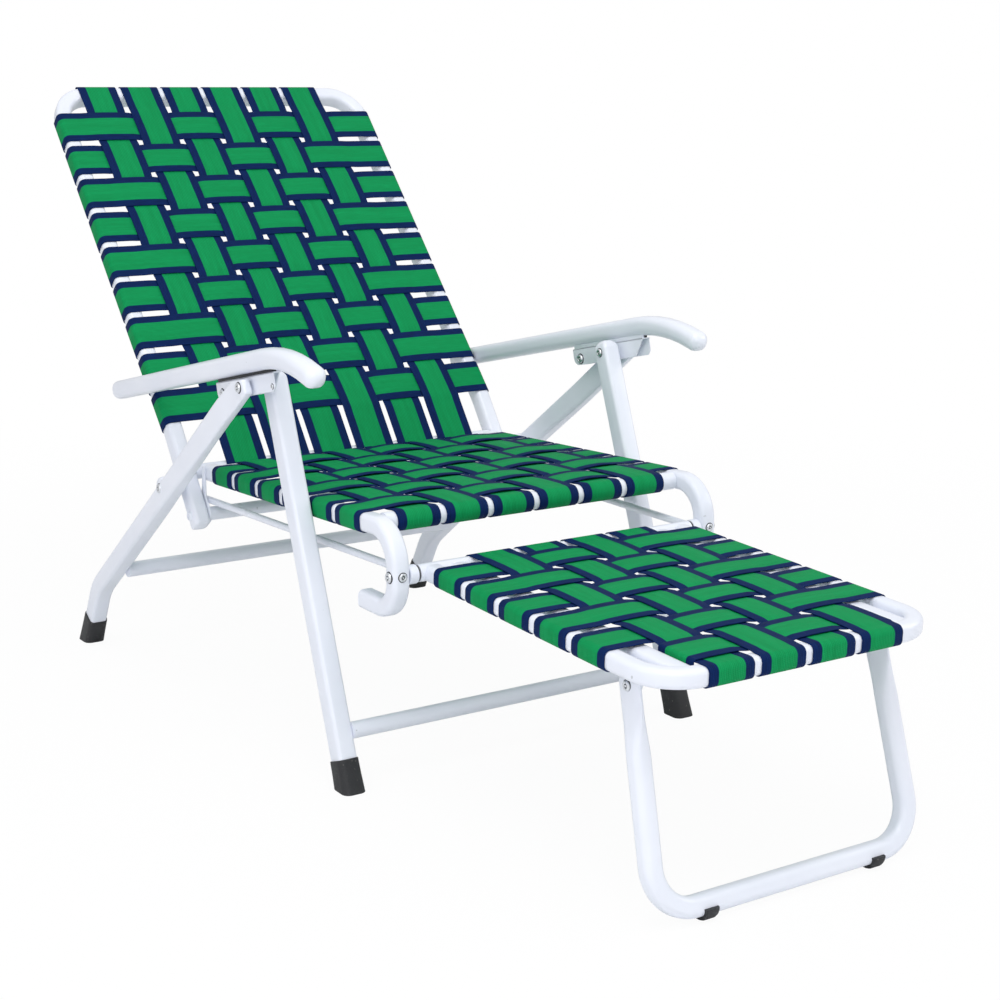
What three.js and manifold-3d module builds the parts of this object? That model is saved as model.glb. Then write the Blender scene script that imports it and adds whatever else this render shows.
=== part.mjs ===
import * as THREE from 'three';
import Module from 'manifold-3d';
import { mergeVertices } from 'three/addons/utils/BufferGeometryUtils.js';

// Folding webbed lawn chair with a reclining back and a hinged footrest, in millimetres.
// X is the width, the footrest points to -Y, Z is up. Side-view points are [y, z].

// Fits shared by all pieces
const SEAM = 0.3;
const PIN_R = 4;
const HOLE_R = PIN_R + 0.3;
const HEAD_R = 7;
const HEAD_T = 2.4;
const ROUND_SIDES = 16;
const PIN_SIDES = 12;
const FLAT = 0.002;

// Tubes: width across the chair, depth in the side view, corner radius
const FRAME_W = 22;
const FRAME_D = 25;
const FRAME_R = 5;
const RAIL = 22;
const RAIL_R = 5;
const FOOTREST_TUBE = 20;
const FOOTREST_R = 5;
const ARM_W = 27;
const ARM_D = 25;
const ARM_R = 10;

// Layers across the chair, measured from the middle
const SEAT_X = 217.5;
const BACK_X = 243.5;
const BRACKET_X = 261.5;
const BRACKET_W = 9;
const ARM_X = 271;
const REAR_X = 277.5;
const FOOTREST_X = 176;
const LEG_X = 172;
const ROD_X = 200.5;

// Cross straps of the seat. The seat ends behind the last one, and the rear frame follows.
const SEAT_STRAP = 58;
const SEAT_ACROSS_PITCH = 68;
const SEAT_ACROSS_FRONT_Y = 79;
const SEAT_ACROSS_N = 6;
const SEAT_END_Y = SEAT_ACROSS_FRONT_Y + (SEAT_ACROSS_N - 1) * SEAT_ACROSS_PITCH + SEAT_STRAP;

// Distances of the rear frame behind the seat's last strap
const RAIL_BEHIND = 29;
const REAR_BAR_BEHIND = 10;
const AXLE_BEHIND = 18;
const REAR_BEND_BEHIND = 295;
const REAR_FOOT_BEHIND = 347;
const REAR_CROSSBAR_BEHIND = 220;
const ARM_END_BEHIND = 195.4;
const EAR_BEHIND_AXLE = 18;
const EAR_ABOVE_AXLE = 38;

// Seat frame: rails that bend down and back into hooks at the front
const RAIL_REAR_Y = SEAT_END_Y + RAIL_BEHIND;
const RAIL_REAR_Z = 302;
const SEAT_RISE_DEG = 2.35;
const HOOK_Y = 14.5;
const HOOK_BEND = 42;
const HOOK_LOW_Z = 228.5;
const HOOK_LOW_BEND = 34;
const HOOK_END_Y = 90;
const PLUG_T = 3;
const PLUG_W = 17;
const SEAT_BAR_R = RAIL / 2;
const FRONT_BAR_Y = 66;
const REAR_BAR_Y = SEAT_END_Y + REAR_BAR_BEHIND;
const HINGE_Z = 270;
const ARM_RIVET_Z = 271;
const RIVET_R = 3;
const RIVET_HEAD_R = 5.5;
const RIVET_HEAD_T = 2;
const RIVET_DEPTH = 4;

// Axle under the rear of the seat, its hangers and the two brace rods
const AXLE = [SEAT_END_Y + AXLE_BEHIND, 249];
const AXLE_R = 9;
const HANGER_T = 4;
const HANGER_X = 222;
const HANGER_HALF = 14;
const ROD_R = 4.5;
const ROD_EYE_R = 13.5;
const ROD_EYE_W = 9;
const SLEEVE_R = 11;
const SLEEVE_W = 11;
const AXLE_BOLT_DEPTH = 14;

// Back frame
const BACK_LOW_DEG = 35;
const BACK_HIGH_DEG = 41.8;
const BACK_LOW_END = 14;
const BACK_BEND_AT = 125;
const BACK_BEND_R = 150;
const BACK_HIGH = 580;
const BACK_CORNER = 45;
const BACK_LAP = 44;
const BACK_LOW_BAR_UP = 62;
const BACK_LOW_BAR_R = 10;

// Front legs
const FRONT_FOOT_Y = 88;
const FRONT_LEAN = 0.365;
const FRONT_PIVOT_Z = 316;
const FRONT_PIN_Z = 456;
const FRONT_TOP_Z = 467;
const FRONT_END_Z = 9;
const CROSSBAR_R = 10;
const FRONT_BAR = [104, 66];
const SEAT_PIN_IN = 10;
const SEAT_PIN_OUT = 14;

// Rear legs
const REAR_PIN = [262, 450];
const REAR_BEND = [SEAT_END_Y + REAR_BEND_BEHIND, 92];
const REAR_FOOT_Y = SEAT_END_Y + REAR_FOOT_BEHIND;
const REAR_BEND_R = 90;
const REAR_END_Z = 11;
const EAR = [AXLE[0] + EAR_BEHIND_AXLE, AXLE[1] + EAR_ABOVE_AXLE];
const EAR_R = 15;
const EAR_COLLAR_R = 8;
const REAR_BAR = [SEAT_END_Y + REAR_CROSSBAR_BEHIND, 133];
const REAR_BAR_R = 10.5;
const REAR_FLAT_T = 10;
const REAR_FLAT_RUN = 18;
const REAR_FLAT_END = 78;

// Rubber feet
const CAP_WALL = 3;
const FLOOR_CUT = 80;
const FRONT_CAP_H = 34;
const REAR_CAP_H = 42;

// Armrests and the leg brackets under them
const ARM_REAR = [SEAT_END_Y + ARM_END_BEHIND, 394.5];
const ARM_PEAK = [165, 504];
const ARM_TIP = [102, 486];
const ARM_BEND_R = 245;
const ARM_PIVOT_AT = 0.10573;
const ARM_PIN_DEPTH = 12;
const BRACKET_FRONT_Y = 223;
const BRACKET_REAR_Y = 365;
const BRACKET_H = 26;
const BRACKET_WALL = 1.6;
const BRACKET_ROUND = 15;
const BRACKET_SLANT = 8;
const BRACKET_RIVET_Y = 345;
const NOTCH_Y = 280;
const NOTCH_W = 4.5;
const NOTCH_H = 11;
const NOTCH_DEG = 28;

// Footrest and its folding leg
const FOOTREST_FRONT = [-407, 255];
const FOOTREST_CORNER = 45;
const HINGE_BAR_OUT = 6.6;
const LEG_PIVOT = [-340, 235];
const LEG_R = 11;
const LEG_FLAT_T = 10;
const LEG_FLAT_W = 24;
const LEG_FLAT_RUN = 16;
const LEG_NECK = 44;
const LEG_BAR = [-398, 15];
const LEG_CORNER = 46;
const LUG_T = 3;
const LUG_HALF = 11;
const LUG_RISE = 5;
const PAD_X = 112;
const PAD_W = 17;
const PAD_R = 16;

// Webbing: straps wrap the tubes and turn in under them
const STRAP = 58.5;
const BACK_STRAP = 51.5;
const WEB_T = 1.4;
const BACK_ACROSS_PITCH = 60.4;
const BACK_ACROSS_LOW = 4;
const BACK_ACROSS_N = 9;
const BACK_ALONG_PITCH = 66;
const BACK_ALONG_N = 6;
const SEAT_ALONG_PITCH = 65.4;
const SEAT_ALONG_N = 6;
const FOOT_ACROSS_PITCH = 65.7;
const FOOT_ACROSS_REAR_Y = -10;
const FOOT_ACROSS_N = 5;
const FOOT_ALONG_PITCH = 65.5;
const FOOT_ALONG_N = 4;

const wasm = await Module();
wasm.setup();

const SIDE_NORMAL = new THREE.Vector3(1, 0, 0);

function material(color, roughness, metalness) {
  return new THREE.MeshStandardMaterial({ color, roughness, metalness });
}

const WHITE = material(0xf1f3f7, 0.32, 0.1);
const GREEN = material(0x1fa453, 0.75, 0);
const RUBBER = material(0x17181a, 0.85, 0);
const STEEL = material(0xb9bdc2, 0.35, 0.9);

const group = new THREE.Group();
group.name = 'folding_webbed_lawn_chair';

function put(name, geometry, look) {
  const mesh = new THREE.Mesh(geometry, look);
  mesh.name = name;
  group.add(mesh);
  return mesh;
}

// A piece of the left side, at -X, and its mirror image on the right
function putPair(name, geometry, look) {
  put(`${name}_left`, geometry, look);
  put(`${name}_right`, geometry, look).scale.x = -1;
}

function toSolid(geometry) {
  const plain = geometry.clone();
  plain.deleteAttribute('normal');
  plain.deleteAttribute('uv');
  const merged = mergeVertices(plain, 1e-4);
  return new wasm.Manifold(
    new wasm.Mesh({
      numProp: 3,
      vertProperties: Float32Array.from(merged.attributes.position.array),
      triVerts: Uint32Array.from(merged.index.array),
    }),
  );
}

function toGeometry(solid) {
  const mesh = solid.getMesh();
  const geometry = new THREE.BufferGeometry();
  const points = Float32Array.from(mesh.vertProperties);
  geometry.setAttribute('position', new THREE.BufferAttribute(points, 3));
  geometry.setIndex(new THREE.BufferAttribute(Uint32Array.from(mesh.triVerts), 1));
  geometry.computeVertexNormals();
  return geometry;
}

function join(...geometries) {
  return toGeometry(wasm.Manifold.union(geometries.map(toSolid)).asOriginal().simplify(FLAT));
}

function cut(geometry, ...tools) {
  let solid = toSolid(geometry);
  for (const tool of tools) {
    solid = solid.subtract(toSolid(tool));
  }
  return toGeometry(solid);
}

// Smooth neck between two slices of different section
function neck(low, high) {
  return toGeometry(wasm.Manifold.hull([toSolid(low), toSolid(high)]));
}

function roundedRect(w, h, r) {
  const shape = new THREE.Shape();
  shape.moveTo(-w / 2 + r, -h / 2);
  shape.lineTo(w / 2 - r, -h / 2);
  shape.absarc(w / 2 - r, -h / 2 + r, r, -Math.PI / 2, 0, false);
  shape.lineTo(w / 2, h / 2 - r);
  shape.absarc(w / 2 - r, h / 2 - r, r, 0, Math.PI / 2, false);
  shape.lineTo(-w / 2 + r, h / 2);
  shape.absarc(-w / 2 + r, h / 2 - r, r, Math.PI / 2, Math.PI, false);
  shape.lineTo(-w / 2, -h / 2 + r);
  shape.absarc(-w / 2 + r, -h / 2 + r, r, Math.PI, Math.PI * 1.5, false);
  return shape;
}

function disc(r) {
  const shape = new THREE.Shape();
  shape.absarc(0, 0, r, 0, Math.PI * 2, false);
  return shape;
}

// A flat path of straight runs and round bends; the section's y stays along the plane's normal
class BentPath extends THREE.Curve {
  constructor(corners, radii, normal, turnStep = 0.2) {
    super();
    this.normal = normal;
    this.stations = [corners[0]];
    for (let i = 1; i < corners.length - 1; i += 1) {
      this.bend(corners[i - 1], corners[i], corners[i + 1], radii[i - 1], turnStep);
    }
    this.stations.push(corners[corners.length - 1]);
  }

  bend(before, corner, after, radius, turnStep) {
    const inward = corner.clone().sub(before).normalize();
    const outward = after.clone().sub(corner).normalize();
    const turn = inward.angleTo(outward);
    const reach = radius * Math.tan(turn / 2);
    const start = corner.clone().addScaledVector(inward, -reach);
    const side = outward.clone().addScaledVector(inward, -inward.dot(outward)).normalize();
    const centre = start.clone().addScaledVector(side, radius);
    const parts = Math.max(2, Math.ceil(turn / turnStep));
    for (let k = 0; k <= parts; k += 1) {
      const a = (turn * k) / parts;
      const point = centre.clone();
      point.addScaledVector(side, -radius * Math.cos(a));
      point.addScaledVector(inward, radius * Math.sin(a));
      this.stations.push(point);
    }
  }

  get steps() {
    return this.stations.length - 1;
  }

  getPointAt(u) {
    return this.stations[Math.round(u * this.steps)].clone();
  }

  getTangentAt(u) {
    const i = Math.round(u * this.steps);
    const ahead = this.stations[Math.min(i + 1, this.steps)];
    const behind = this.stations[Math.max(i - 1, 0)];
    if (i === 0 || i === this.steps) {
      return ahead.clone().sub(behind).normalize();
    }
    const here = this.stations[i];
    const first = here.clone().sub(behind).normalize();
    const second = ahead.clone().sub(here).normalize();
    return first.add(second).normalize();
  }

  computeFrenetFrames(segments) {
    const tangents = [];
    const normals = [];
    const binormals = [];
    for (let i = 0; i <= segments; i += 1) {
      const tangent = this.getTangentAt(i / segments);
      tangents.push(tangent);
      binormals.push(this.normal.clone());
      normals.push(new THREE.Vector3().crossVectors(this.normal, tangent));
    }
    return { tangents, normals, binormals };
  }
}

function bar(corners, radii, normal, section, curveSegments = 1) {
  const path = new BentPath(corners, radii, normal);
  return new THREE.ExtrudeGeometry(section, {
    steps: path.steps,
    extrudePath: path,
    curveSegments,
    bevelEnabled: false,
  });
}

function at(x, [y, z]) {
  return new THREE.Vector3(x, y, z);
}

// Side tube in the plane x, from its side-view corner points
function sideBar(x, points, radii, w, d, r) {
  return bar(points.map((p) => at(x, p)), radii, SIDE_NORMAL, roundedRect(d, w, r));
}

// Round bar or pin along X
function rod(x0, x1, [y, z], r, sides = ROUND_SIDES) {
  const geometry = new THREE.CylinderGeometry(r, r, x1 - x0, sides);
  geometry.rotateZ(-Math.PI / 2);
  geometry.translate((x0 + x1) / 2, y, z);
  return geometry;
}

// Turned piece along X from [x, radius] pairs that rise in x
function turned(pairs, [y, z], sides = PIN_SIDES) {
  const first = pairs[0];
  const last = pairs[pairs.length - 1];
  const profile = [new THREE.Vector2(0, first[0])];
  for (const [x, r] of pairs) {
    profile.push(new THREE.Vector2(r, x));
  }
  profile.push(new THREE.Vector2(0, last[0]));
  const geometry = new THREE.LatheGeometry(profile, sides);
  geometry.rotateZ(-Math.PI / 2);
  geometry.translate(0, y, z);
  return geometry;
}

// Bolt from outside on the left: a chamfered head, then a shaft towards the middle
function bolt(headX, endX, point, headR = HEAD_R, headT = HEAD_T, shaftR = PIN_R) {
  return turned(
    [
      [headX - headT, headR * 0.72],
      [headX - headT * 0.45, headR],
      [headX, headR],
      [headX, shaftR],
      [endX, shaftR],
    ],
    point,
  );
}

// Round tongue on a tube's end in the side view, with the tube's own edges
function tongue(x, point, w, d, r) {
  const half = w / 2;
  const full = d / 2;
  const edge = r * (1 - Math.SQRT1_2);
  return turned(
    [
      [x - half, full - r],
      [x - half + edge, full - edge],
      [x - half + r, full],
      [x + half - r, full],
      [x + half - edge, full - edge],
      [x + half, full - r],
    ],
    point,
    ROUND_SIDES,
  );
}

// Flat piece from its side-view outline, between two x positions
function plate(shape, x0, x1) {
  const geometry = new THREE.ExtrudeGeometry(shape, {
    depth: x1 - x0,
    curveSegments: 3,
    bevelEnabled: false,
  });
  const basis = new THREE.Matrix4().makeBasis(
    new THREE.Vector3(0, 1, 0),
    new THREE.Vector3(0, 0, 1),
    new THREE.Vector3(1, 0, 0),
  );
  geometry.applyMatrix4(basis);
  geometry.translate(x0, 0, 0);
  return geometry;
}

function block(x0, x1, y0, y1, z0, z1) {
  const geometry = new THREE.BoxGeometry(x1 - x0, y1 - y0, z1 - z0);
  geometry.translate((x0 + x1) / 2, (y0 + y1) / 2, (z0 + z1) / 2);
  return geometry;
}

function radians(deg) {
  return (deg * Math.PI) / 180;
}

function along([y, z], direction, s) {
  return [y + direction[0] * s, z + direction[1] * s];
}

// Strap in profile: flat over both tubes, round their outsides and back in under them.
// A low bar behind the plane takes the strap back to it from the fold at 0.
function wrapShape(low, high, a, b, lowR, highR, drop = 0) {
  const top = b + SEAM;
  const q = Math.PI / 2;
  const lowTurn = drop ? low : low - a + lowR;
  const lowEnd = drop ? low + lowR : low + a;
  const highTurn = high + a - highR;
  const lowUp = drop ? 0 : b - lowR;
  const highUp = b - highR;
  const lowIn = lowR + SEAM;
  const highIn = highR + SEAM;
  const shape = new THREE.Shape();
  shape.moveTo(high - a, -top - WEB_T);
  shape.lineTo(highTurn, -top - WEB_T);
  shape.absarc(highTurn, -highUp, highIn + WEB_T, -q, 0, false);
  shape.lineTo(highTurn + highIn + WEB_T, highUp);
  shape.absarc(highTurn, highUp, highIn + WEB_T, 0, q, false);
  if (drop) {
    shape.lineTo(0, top + WEB_T);
  }
  shape.lineTo(lowTurn, lowUp - drop + lowIn + WEB_T);
  shape.absarc(lowTurn, lowUp - drop, lowIn + WEB_T, q, 2 * q, false);
  shape.lineTo(lowTurn - lowIn - WEB_T, -lowUp - drop);
  shape.absarc(lowTurn, -lowUp - drop, lowIn + WEB_T, 2 * q, 3 * q, false);
  shape.lineTo(lowEnd, -lowUp - drop - lowIn - WEB_T);
  shape.lineTo(lowEnd, -lowUp - drop - lowIn);
  shape.lineTo(lowTurn, -lowUp - drop - lowIn);
  shape.absarc(lowTurn, -lowUp - drop, lowIn, 3 * q, 2 * q, true);
  shape.lineTo(lowTurn - lowIn, lowUp - drop);
  shape.absarc(lowTurn, lowUp - drop, lowIn, 2 * q, q, true);
  if (drop) {
    shape.lineTo(0, top);
  }
  shape.lineTo(highTurn, top);
  shape.absarc(highTurn, highUp, highIn, q, 0, true);
  shape.lineTo(highTurn + highIn, -highUp);
  shape.absarc(highTurn, -highUp, highIn, 0, -q, true);
  shape.lineTo(high - a, -top);
  return shape;
}

function strap(shape, width, curveSegments) {
  return new THREE.ExtrudeGeometry(shape, { depth: width, curveSegments, bevelEnabled: false });
}

// Net of crossed straps on a frame. The frame's plane runs through origin along v = [vy, vz].
function net({ origin, v, side, bars, across, acrossWidth, alongCentres }) {
  const up = new THREE.Vector3(0, -v[1], v[0]);
  const length = new THREE.Vector3(0, v[0], v[1]);
  const place = new THREE.Vector3(0, origin[0], origin[1]);
  const crossBasis = new THREE.Matrix4().makeBasis(SIDE_NORMAL, up, length.clone().negate());
  const alongBasis = new THREE.Matrix4().makeBasis(length, up, SIDE_NORMAL);
  const pieces = [];
  for (const start of across) {
    const piece = strap(wrapShape(-side.x, side.x, side.a, side.b, side.r, side.r), acrossWidth, 1);
    piece.translate(0, 0, -start - acrossWidth);
    piece.applyMatrix4(crossBasis);
    piece.translate(place.x, place.y, place.z);
    pieces.push(piece);
  }
  for (const centre of alongCentres) {
    const profile = wrapShape(bars.low, bars.high, bars.a, bars.b, bars.lowR, bars.highR, bars.drop);
    const piece = strap(profile, STRAP, bars.round ? 3 : 1);
    piece.translate(0, 0, centre - STRAP / 2);
    piece.applyMatrix4(alongBasis);
    piece.translate(place.x, place.y, place.z);
    pieces.push(piece);
  }
  return join(...pieces);
}

function row(n, pitch, start) {
  return Array.from({ length: n }, (_, i) => start + i * pitch);
}

function centred(n, pitch) {
  return row(n, pitch, (-(n - 1) * pitch) / 2);
}

// Seat rails with their hooks
const seatSlope = Math.tan(radians(SEAT_RISE_DEG));
const railZ = (y) => RAIL_REAR_Z + (RAIL_REAR_Y - y) * seatSlope;
const hinge = [HOOK_Y, HINGE_Z];
const frontPivot = [FRONT_FOOT_Y + FRONT_LEAN * FRONT_PIVOT_Z, FRONT_PIVOT_Z];
const railOut = -SEAT_X - RAIL / 2;
const railIn = -SEAT_X + RAIL / 2;
const railPath = [
  [RAIL_REAR_Y, RAIL_REAR_Z],
  [HOOK_Y, railZ(HOOK_Y)],
  [HOOK_Y, HOOK_LOW_Z],
  [HOOK_END_Y - PLUG_T - SEAM, HOOK_LOW_Z],
];
const railBar = sideBar(-SEAT_X, railPath, [HOOK_BEND, HOOK_LOW_BEND], RAIL, RAIL, RAIL_R);
const hookFrontY = HOOK_Y - RAIL / 2;
const armRivetHole = new THREE.CylinderGeometry(RIVET_R + SEAM, RIVET_R + SEAM, RIVET_DEPTH * 2, PIN_SIDES);
armRivetHole.translate(-SEAT_X, hookFrontY, ARM_RIVET_Z);
putPair(
  'seat_rail',
  cut(
    railBar,
    rod(railOut - 1, railIn + 1, hinge, HOLE_R, PIN_SIDES),
    rod(railOut - 1, railOut + SEAT_PIN_IN + SEAM, frontPivot, HOLE_R, PIN_SIDES),
    armRivetHole,
  ),
  WHITE,
);
const plug = bar(
  [at(-SEAT_X, [HOOK_END_Y - PLUG_T, HOOK_LOW_Z]), at(-SEAT_X, [HOOK_END_Y, HOOK_LOW_Z])],
  [],
  SIDE_NORMAL,
  roundedRect(PLUG_W, PLUG_W, RAIL_R),
);
putPair('hook_plug', plug, RUBBER);
const armRivet = new THREE.LatheGeometry(
  [
    new THREE.Vector2(0, -RIVET_DEPTH + SEAM),
    new THREE.Vector2(RIVET_R, -RIVET_DEPTH + SEAM),
    new THREE.Vector2(RIVET_R, SEAM),
    new THREE.Vector2(RIVET_HEAD_R, SEAM),
    new THREE.Vector2(RIVET_HEAD_R * 0.75, RIVET_HEAD_T * 0.75),
    new THREE.Vector2(0, RIVET_HEAD_T),
  ],
  PIN_SIDES,
);
armRivet.rotateX(Math.PI);
armRivet.translate(-SEAT_X, hookFrontY, ARM_RIVET_Z);
putPair('arm_rivet', armRivet, STEEL);

const seatBarEnd = -railIn - SEAM;
put('seat_front_bar', rod(-seatBarEnd, seatBarEnd, [FRONT_BAR_Y, railZ(FRONT_BAR_Y)], SEAT_BAR_R), WHITE);
put('seat_rear_bar', rod(-seatBarEnd, seatBarEnd, [REAR_BAR_Y, railZ(REAR_BAR_Y)], SEAT_BAR_R), WHITE);

// Axle, hangers and brace rods
const backIn = -BACK_X + FRAME_W / 2;
const backOut = -BACK_X - FRAME_W / 2;
const axleEnd = -backIn - SEAM;
put(
  'axle',
  cut(
    rod(-axleEnd, axleEnd, AXLE, AXLE_R),
    rod(-axleEnd - 1, -axleEnd + AXLE_BOLT_DEPTH, AXLE, HOLE_R, PIN_SIDES),
    rod(axleEnd - AXLE_BOLT_DEPTH, axleEnd + 1, AXLE, HOLE_R, PIN_SIDES),
  ),
  WHITE,
);
const hangerShape = new THREE.Shape();
const hangerTop = (y) => railZ(y) - RAIL / 2 / Math.cos(radians(SEAT_RISE_DEG)) - SEAM;
hangerShape.moveTo(AXLE[0] - HANGER_HALF, hangerTop(AXLE[0] - HANGER_HALF));
hangerShape.lineTo(AXLE[0] - HANGER_HALF, AXLE[1]);
hangerShape.absarc(AXLE[0], AXLE[1], HANGER_HALF, Math.PI, Math.PI * 2, false);
hangerShape.lineTo(AXLE[0] + HANGER_HALF - RAIL_R, hangerTop(AXLE[0] + HANGER_HALF - RAIL_R));
putPair(
  'axle_hanger',
  cut(
    plate(hangerShape, -HANGER_X - HANGER_T, -HANGER_X),
    rod(-HANGER_X - HANGER_T - 1, -HANGER_X + 1, AXLE, AXLE_R + SEAM),
  ),
  WHITE,
);
putPair('axle_bolt', bolt(backOut - SEAM, -axleEnd + AXLE_BOLT_DEPTH - SEAM, AXLE), STEEL);

const rodRun = Math.hypot(AXLE[0] - hinge[0], AXLE[1] - hinge[1]);
const rodWay = [(AXLE[0] - hinge[0]) / rodRun, (AXLE[1] - hinge[1]) / rodRun];
const sleeveOut = railIn + SEAM;
putPair(
  'brace_rod',
  cut(
    join(
      bar([at(-ROD_X, hinge), at(-ROD_X, along(hinge, rodWay, rodRun))], [], SIDE_NORMAL, disc(ROD_R), 5),
      rod(sleeveOut, sleeveOut + SLEEVE_W, hinge, SLEEVE_R),
      rod(-ROD_X - ROD_EYE_W / 2, -ROD_X + ROD_EYE_W / 2, AXLE, ROD_EYE_R),
    ),
    rod(-SEAT_X, -FOOTREST_X, hinge, HOLE_R, PIN_SIDES),
    rod(-SEAT_X, -FOOTREST_X, AXLE, AXLE_R + SEAM),
  ),
  WHITE,
);

// Footrest hinge bolts, from the hooks into the footrest's rear bar
const footrestOut = FOOTREST_X + FOOTREST_TUBE / 2;
const footrestIn = FOOTREST_X - FOOTREST_TUBE / 2;
putPair('hinge_bolt', bolt(railOut - SEAM, -footrestIn - SEAM, hinge), STEEL);

// Seat webbing
const seatWay = [Math.cos(radians(SEAT_RISE_DEG)), -Math.sin(radians(SEAT_RISE_DEG))];
const seatSpan = (y) => (y - FRONT_BAR_Y) / seatWay[0];
putWebbing(
  'seat_webbing',
  {
    origin: [FRONT_BAR_Y, railZ(FRONT_BAR_Y)],
    v: seatWay,
    side: { x: SEAT_X, a: RAIL / 2, b: RAIL / 2, r: RAIL_R },
    bars: {
      low: 0,
      high: seatSpan(REAR_BAR_Y),
      a: SEAT_BAR_R,
      b: SEAT_BAR_R,
      lowR: SEAT_BAR_R,
      highR: SEAT_BAR_R,
      round: true,
    },
    across: row(SEAT_ACROSS_N, SEAT_ACROSS_PITCH, seatSpan(SEAT_ACROSS_FRONT_Y)),
    acrossWidth: SEAT_STRAP,
    alongCentres: centred(SEAT_ALONG_N, SEAT_ALONG_PITCH),
  },
  frontPivot,
);

function putWebbing(name, form, pinPoint) {
  const web = net(form);
  if (!pinPoint) {
    put(name, web, GREEN);
    return;
  }
  const reach = form.side.x + form.side.a + 5;
  const clear = HOLE_R + 1;
  const holes = [
    rod(-reach, -form.side.x, pinPoint, clear, PIN_SIDES),
    rod(form.side.x, reach, pinPoint, clear, PIN_SIDES),
  ];
  put(name, cut(web, ...holes), GREEN);
}

// Back frame: a tall hoop whose lower ends bend to the axle
const lowWay = [Math.sin(radians(BACK_LOW_DEG)), Math.cos(radians(BACK_LOW_DEG))];
const highWay = [Math.sin(radians(BACK_HIGH_DEG)), Math.cos(radians(BACK_HIGH_DEG))];
const backBend = along(AXLE, lowWay, BACK_BEND_AT);
const backTop = along(backBend, highWay, BACK_HIGH);
const armWayRun = Math.hypot(ARM_PEAK[0] - ARM_REAR[0], ARM_PEAK[1] - ARM_REAR[1]);
const armWay = [(ARM_PEAK[0] - ARM_REAR[0]) / armWayRun, (ARM_PEAK[1] - ARM_REAR[1]) / armWayRun];
const armPivot = along(ARM_REAR, armWay, armWayRun * ARM_PIVOT_AT);
const hoopNormal = new THREE.Vector3(0, -highWay[1], highWay[0]);
const lap = along(backBend, highWay, BACK_LAP);
const hoop = bar(
  [at(-BACK_X, lap), at(-BACK_X, backTop), at(BACK_X, backTop), at(BACK_X, lap)],
  [BACK_CORNER, BACK_CORNER],
  hoopNormal,
  roundedRect(FRAME_W, FRAME_D, FRAME_R),
);
const lowPath = [along(AXLE, lowWay, -BACK_LOW_END), backBend, along(lap, highWay, 1)];
const backHoles = [AXLE, EAR].map((p) => rod(-BACK_X - FRAME_W, BACK_X + FRAME_W, p, HOLE_R, PIN_SIDES));
const armPinIn = backOut + ARM_PIN_DEPTH;
put(
  'back_frame',
  cut(
    join(
      hoop,
      sideBar(-BACK_X, lowPath, [BACK_BEND_R], FRAME_W, FRAME_D, FRAME_R),
      sideBar(BACK_X, lowPath, [BACK_BEND_R], FRAME_W, FRAME_D, FRAME_R),
    ),
    ...backHoles,
    rod(backOut - 1, armPinIn + SEAM, armPivot, HOLE_R, PIN_SIDES),
    rod(-armPinIn - SEAM, -backOut + 1, armPivot, HOLE_R, PIN_SIDES),
  ),
  WHITE,
);
const lowBarPoint = along(AXLE, lowWay, BACK_LOW_BAR_UP);
const lowBarFold = [lowBarPoint[0] - backBend[0], lowBarPoint[1] - backBend[1]];
put('back_lower_bar', rod(-axleEnd, axleEnd, lowBarPoint, BACK_LOW_BAR_R), WHITE);
putWebbing(
  'back_webbing',
  {
    origin: backBend,
    v: highWay,
    side: { x: BACK_X, a: FRAME_W / 2, b: FRAME_D / 2, r: FRAME_R },
    bars: {
      low: lowBarFold[0] * highWay[0] + lowBarFold[1] * highWay[1],
      drop: lowBarFold[0] * highWay[1] - lowBarFold[1] * highWay[0],
      high: BACK_HIGH,
      a: FRAME_W / 2,
      b: FRAME_D / 2,
      lowR: BACK_LOW_BAR_R,
      highR: FRAME_R,
      round: true,
    },
    across: row(BACK_ACROSS_N, BACK_ACROSS_PITCH, BACK_ACROSS_LOW),
    acrossWidth: BACK_STRAP,
    alongCentres: centred(BACK_ALONG_N, BACK_ALONG_PITCH),
  },
  armPivot,
);

// Cutting block of everything below z, around a point of the floor plan
function below(x, y, z) {
  return block(x - FLOOR_CUT, x + FLOOR_CUT, y - FLOOR_CUT, y + FLOOR_CUT, z - FLOOR_CUT, z);
}

// Rubber foot: a sleeve on the tube's end, cut level with the floor
function foot(x, end, way, w, d, height) {
  const floor = along(end, way, -end[1] / way[1]);
  const outer = [along(floor, way, -FLOOR_CUT / 2), along(floor, way, height / way[1])];
  const sleeve = sideBar(x, outer, [], w + 2 * CAP_WALL, d + 2 * CAP_WALL, FRAME_R + CAP_WALL);
  const inner = [end, along(end, way, 2 * FLOOR_CUT)];
  const hollow = sideBar(x, inner, [], w + 2 * SEAM, d + 2 * SEAM, FRAME_R + SEAM);
  return cut(sleeve, hollow, below(x, floor[0], 0));
}

// Front legs
const frontWayRun = Math.hypot(FRONT_LEAN, 1);
const frontWay = [FRONT_LEAN / frontWayRun, 1 / frontWayRun];
const frontAt = (z) => [FRONT_FOOT_Y + FRONT_LEAN * z, z];
const frontPin = frontAt(FRONT_PIN_Z);
putPair(
  'front_leg',
  cut(
    join(
      sideBar(-BACK_X, [frontAt(FRONT_END_Z), frontAt(FRONT_TOP_Z)], [], FRAME_W, FRAME_D, FRAME_R),
      tongue(-BACK_X, frontAt(FRONT_TOP_Z), FRAME_W, FRAME_D, FRAME_R),
    ),
    rod(backIn - SEAT_PIN_OUT - SEAM, backIn + 1, frontPivot, HOLE_R, PIN_SIDES),
    rod(backOut - 1, backIn + 1, frontPin, HOLE_R, PIN_SIDES),
  ),
  WHITE,
);
putPair('front_foot', foot(-BACK_X, frontAt(FRONT_END_Z - SEAM), frontWay, FRAME_W, FRAME_D, FRONT_CAP_H), RUBBER);
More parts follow.
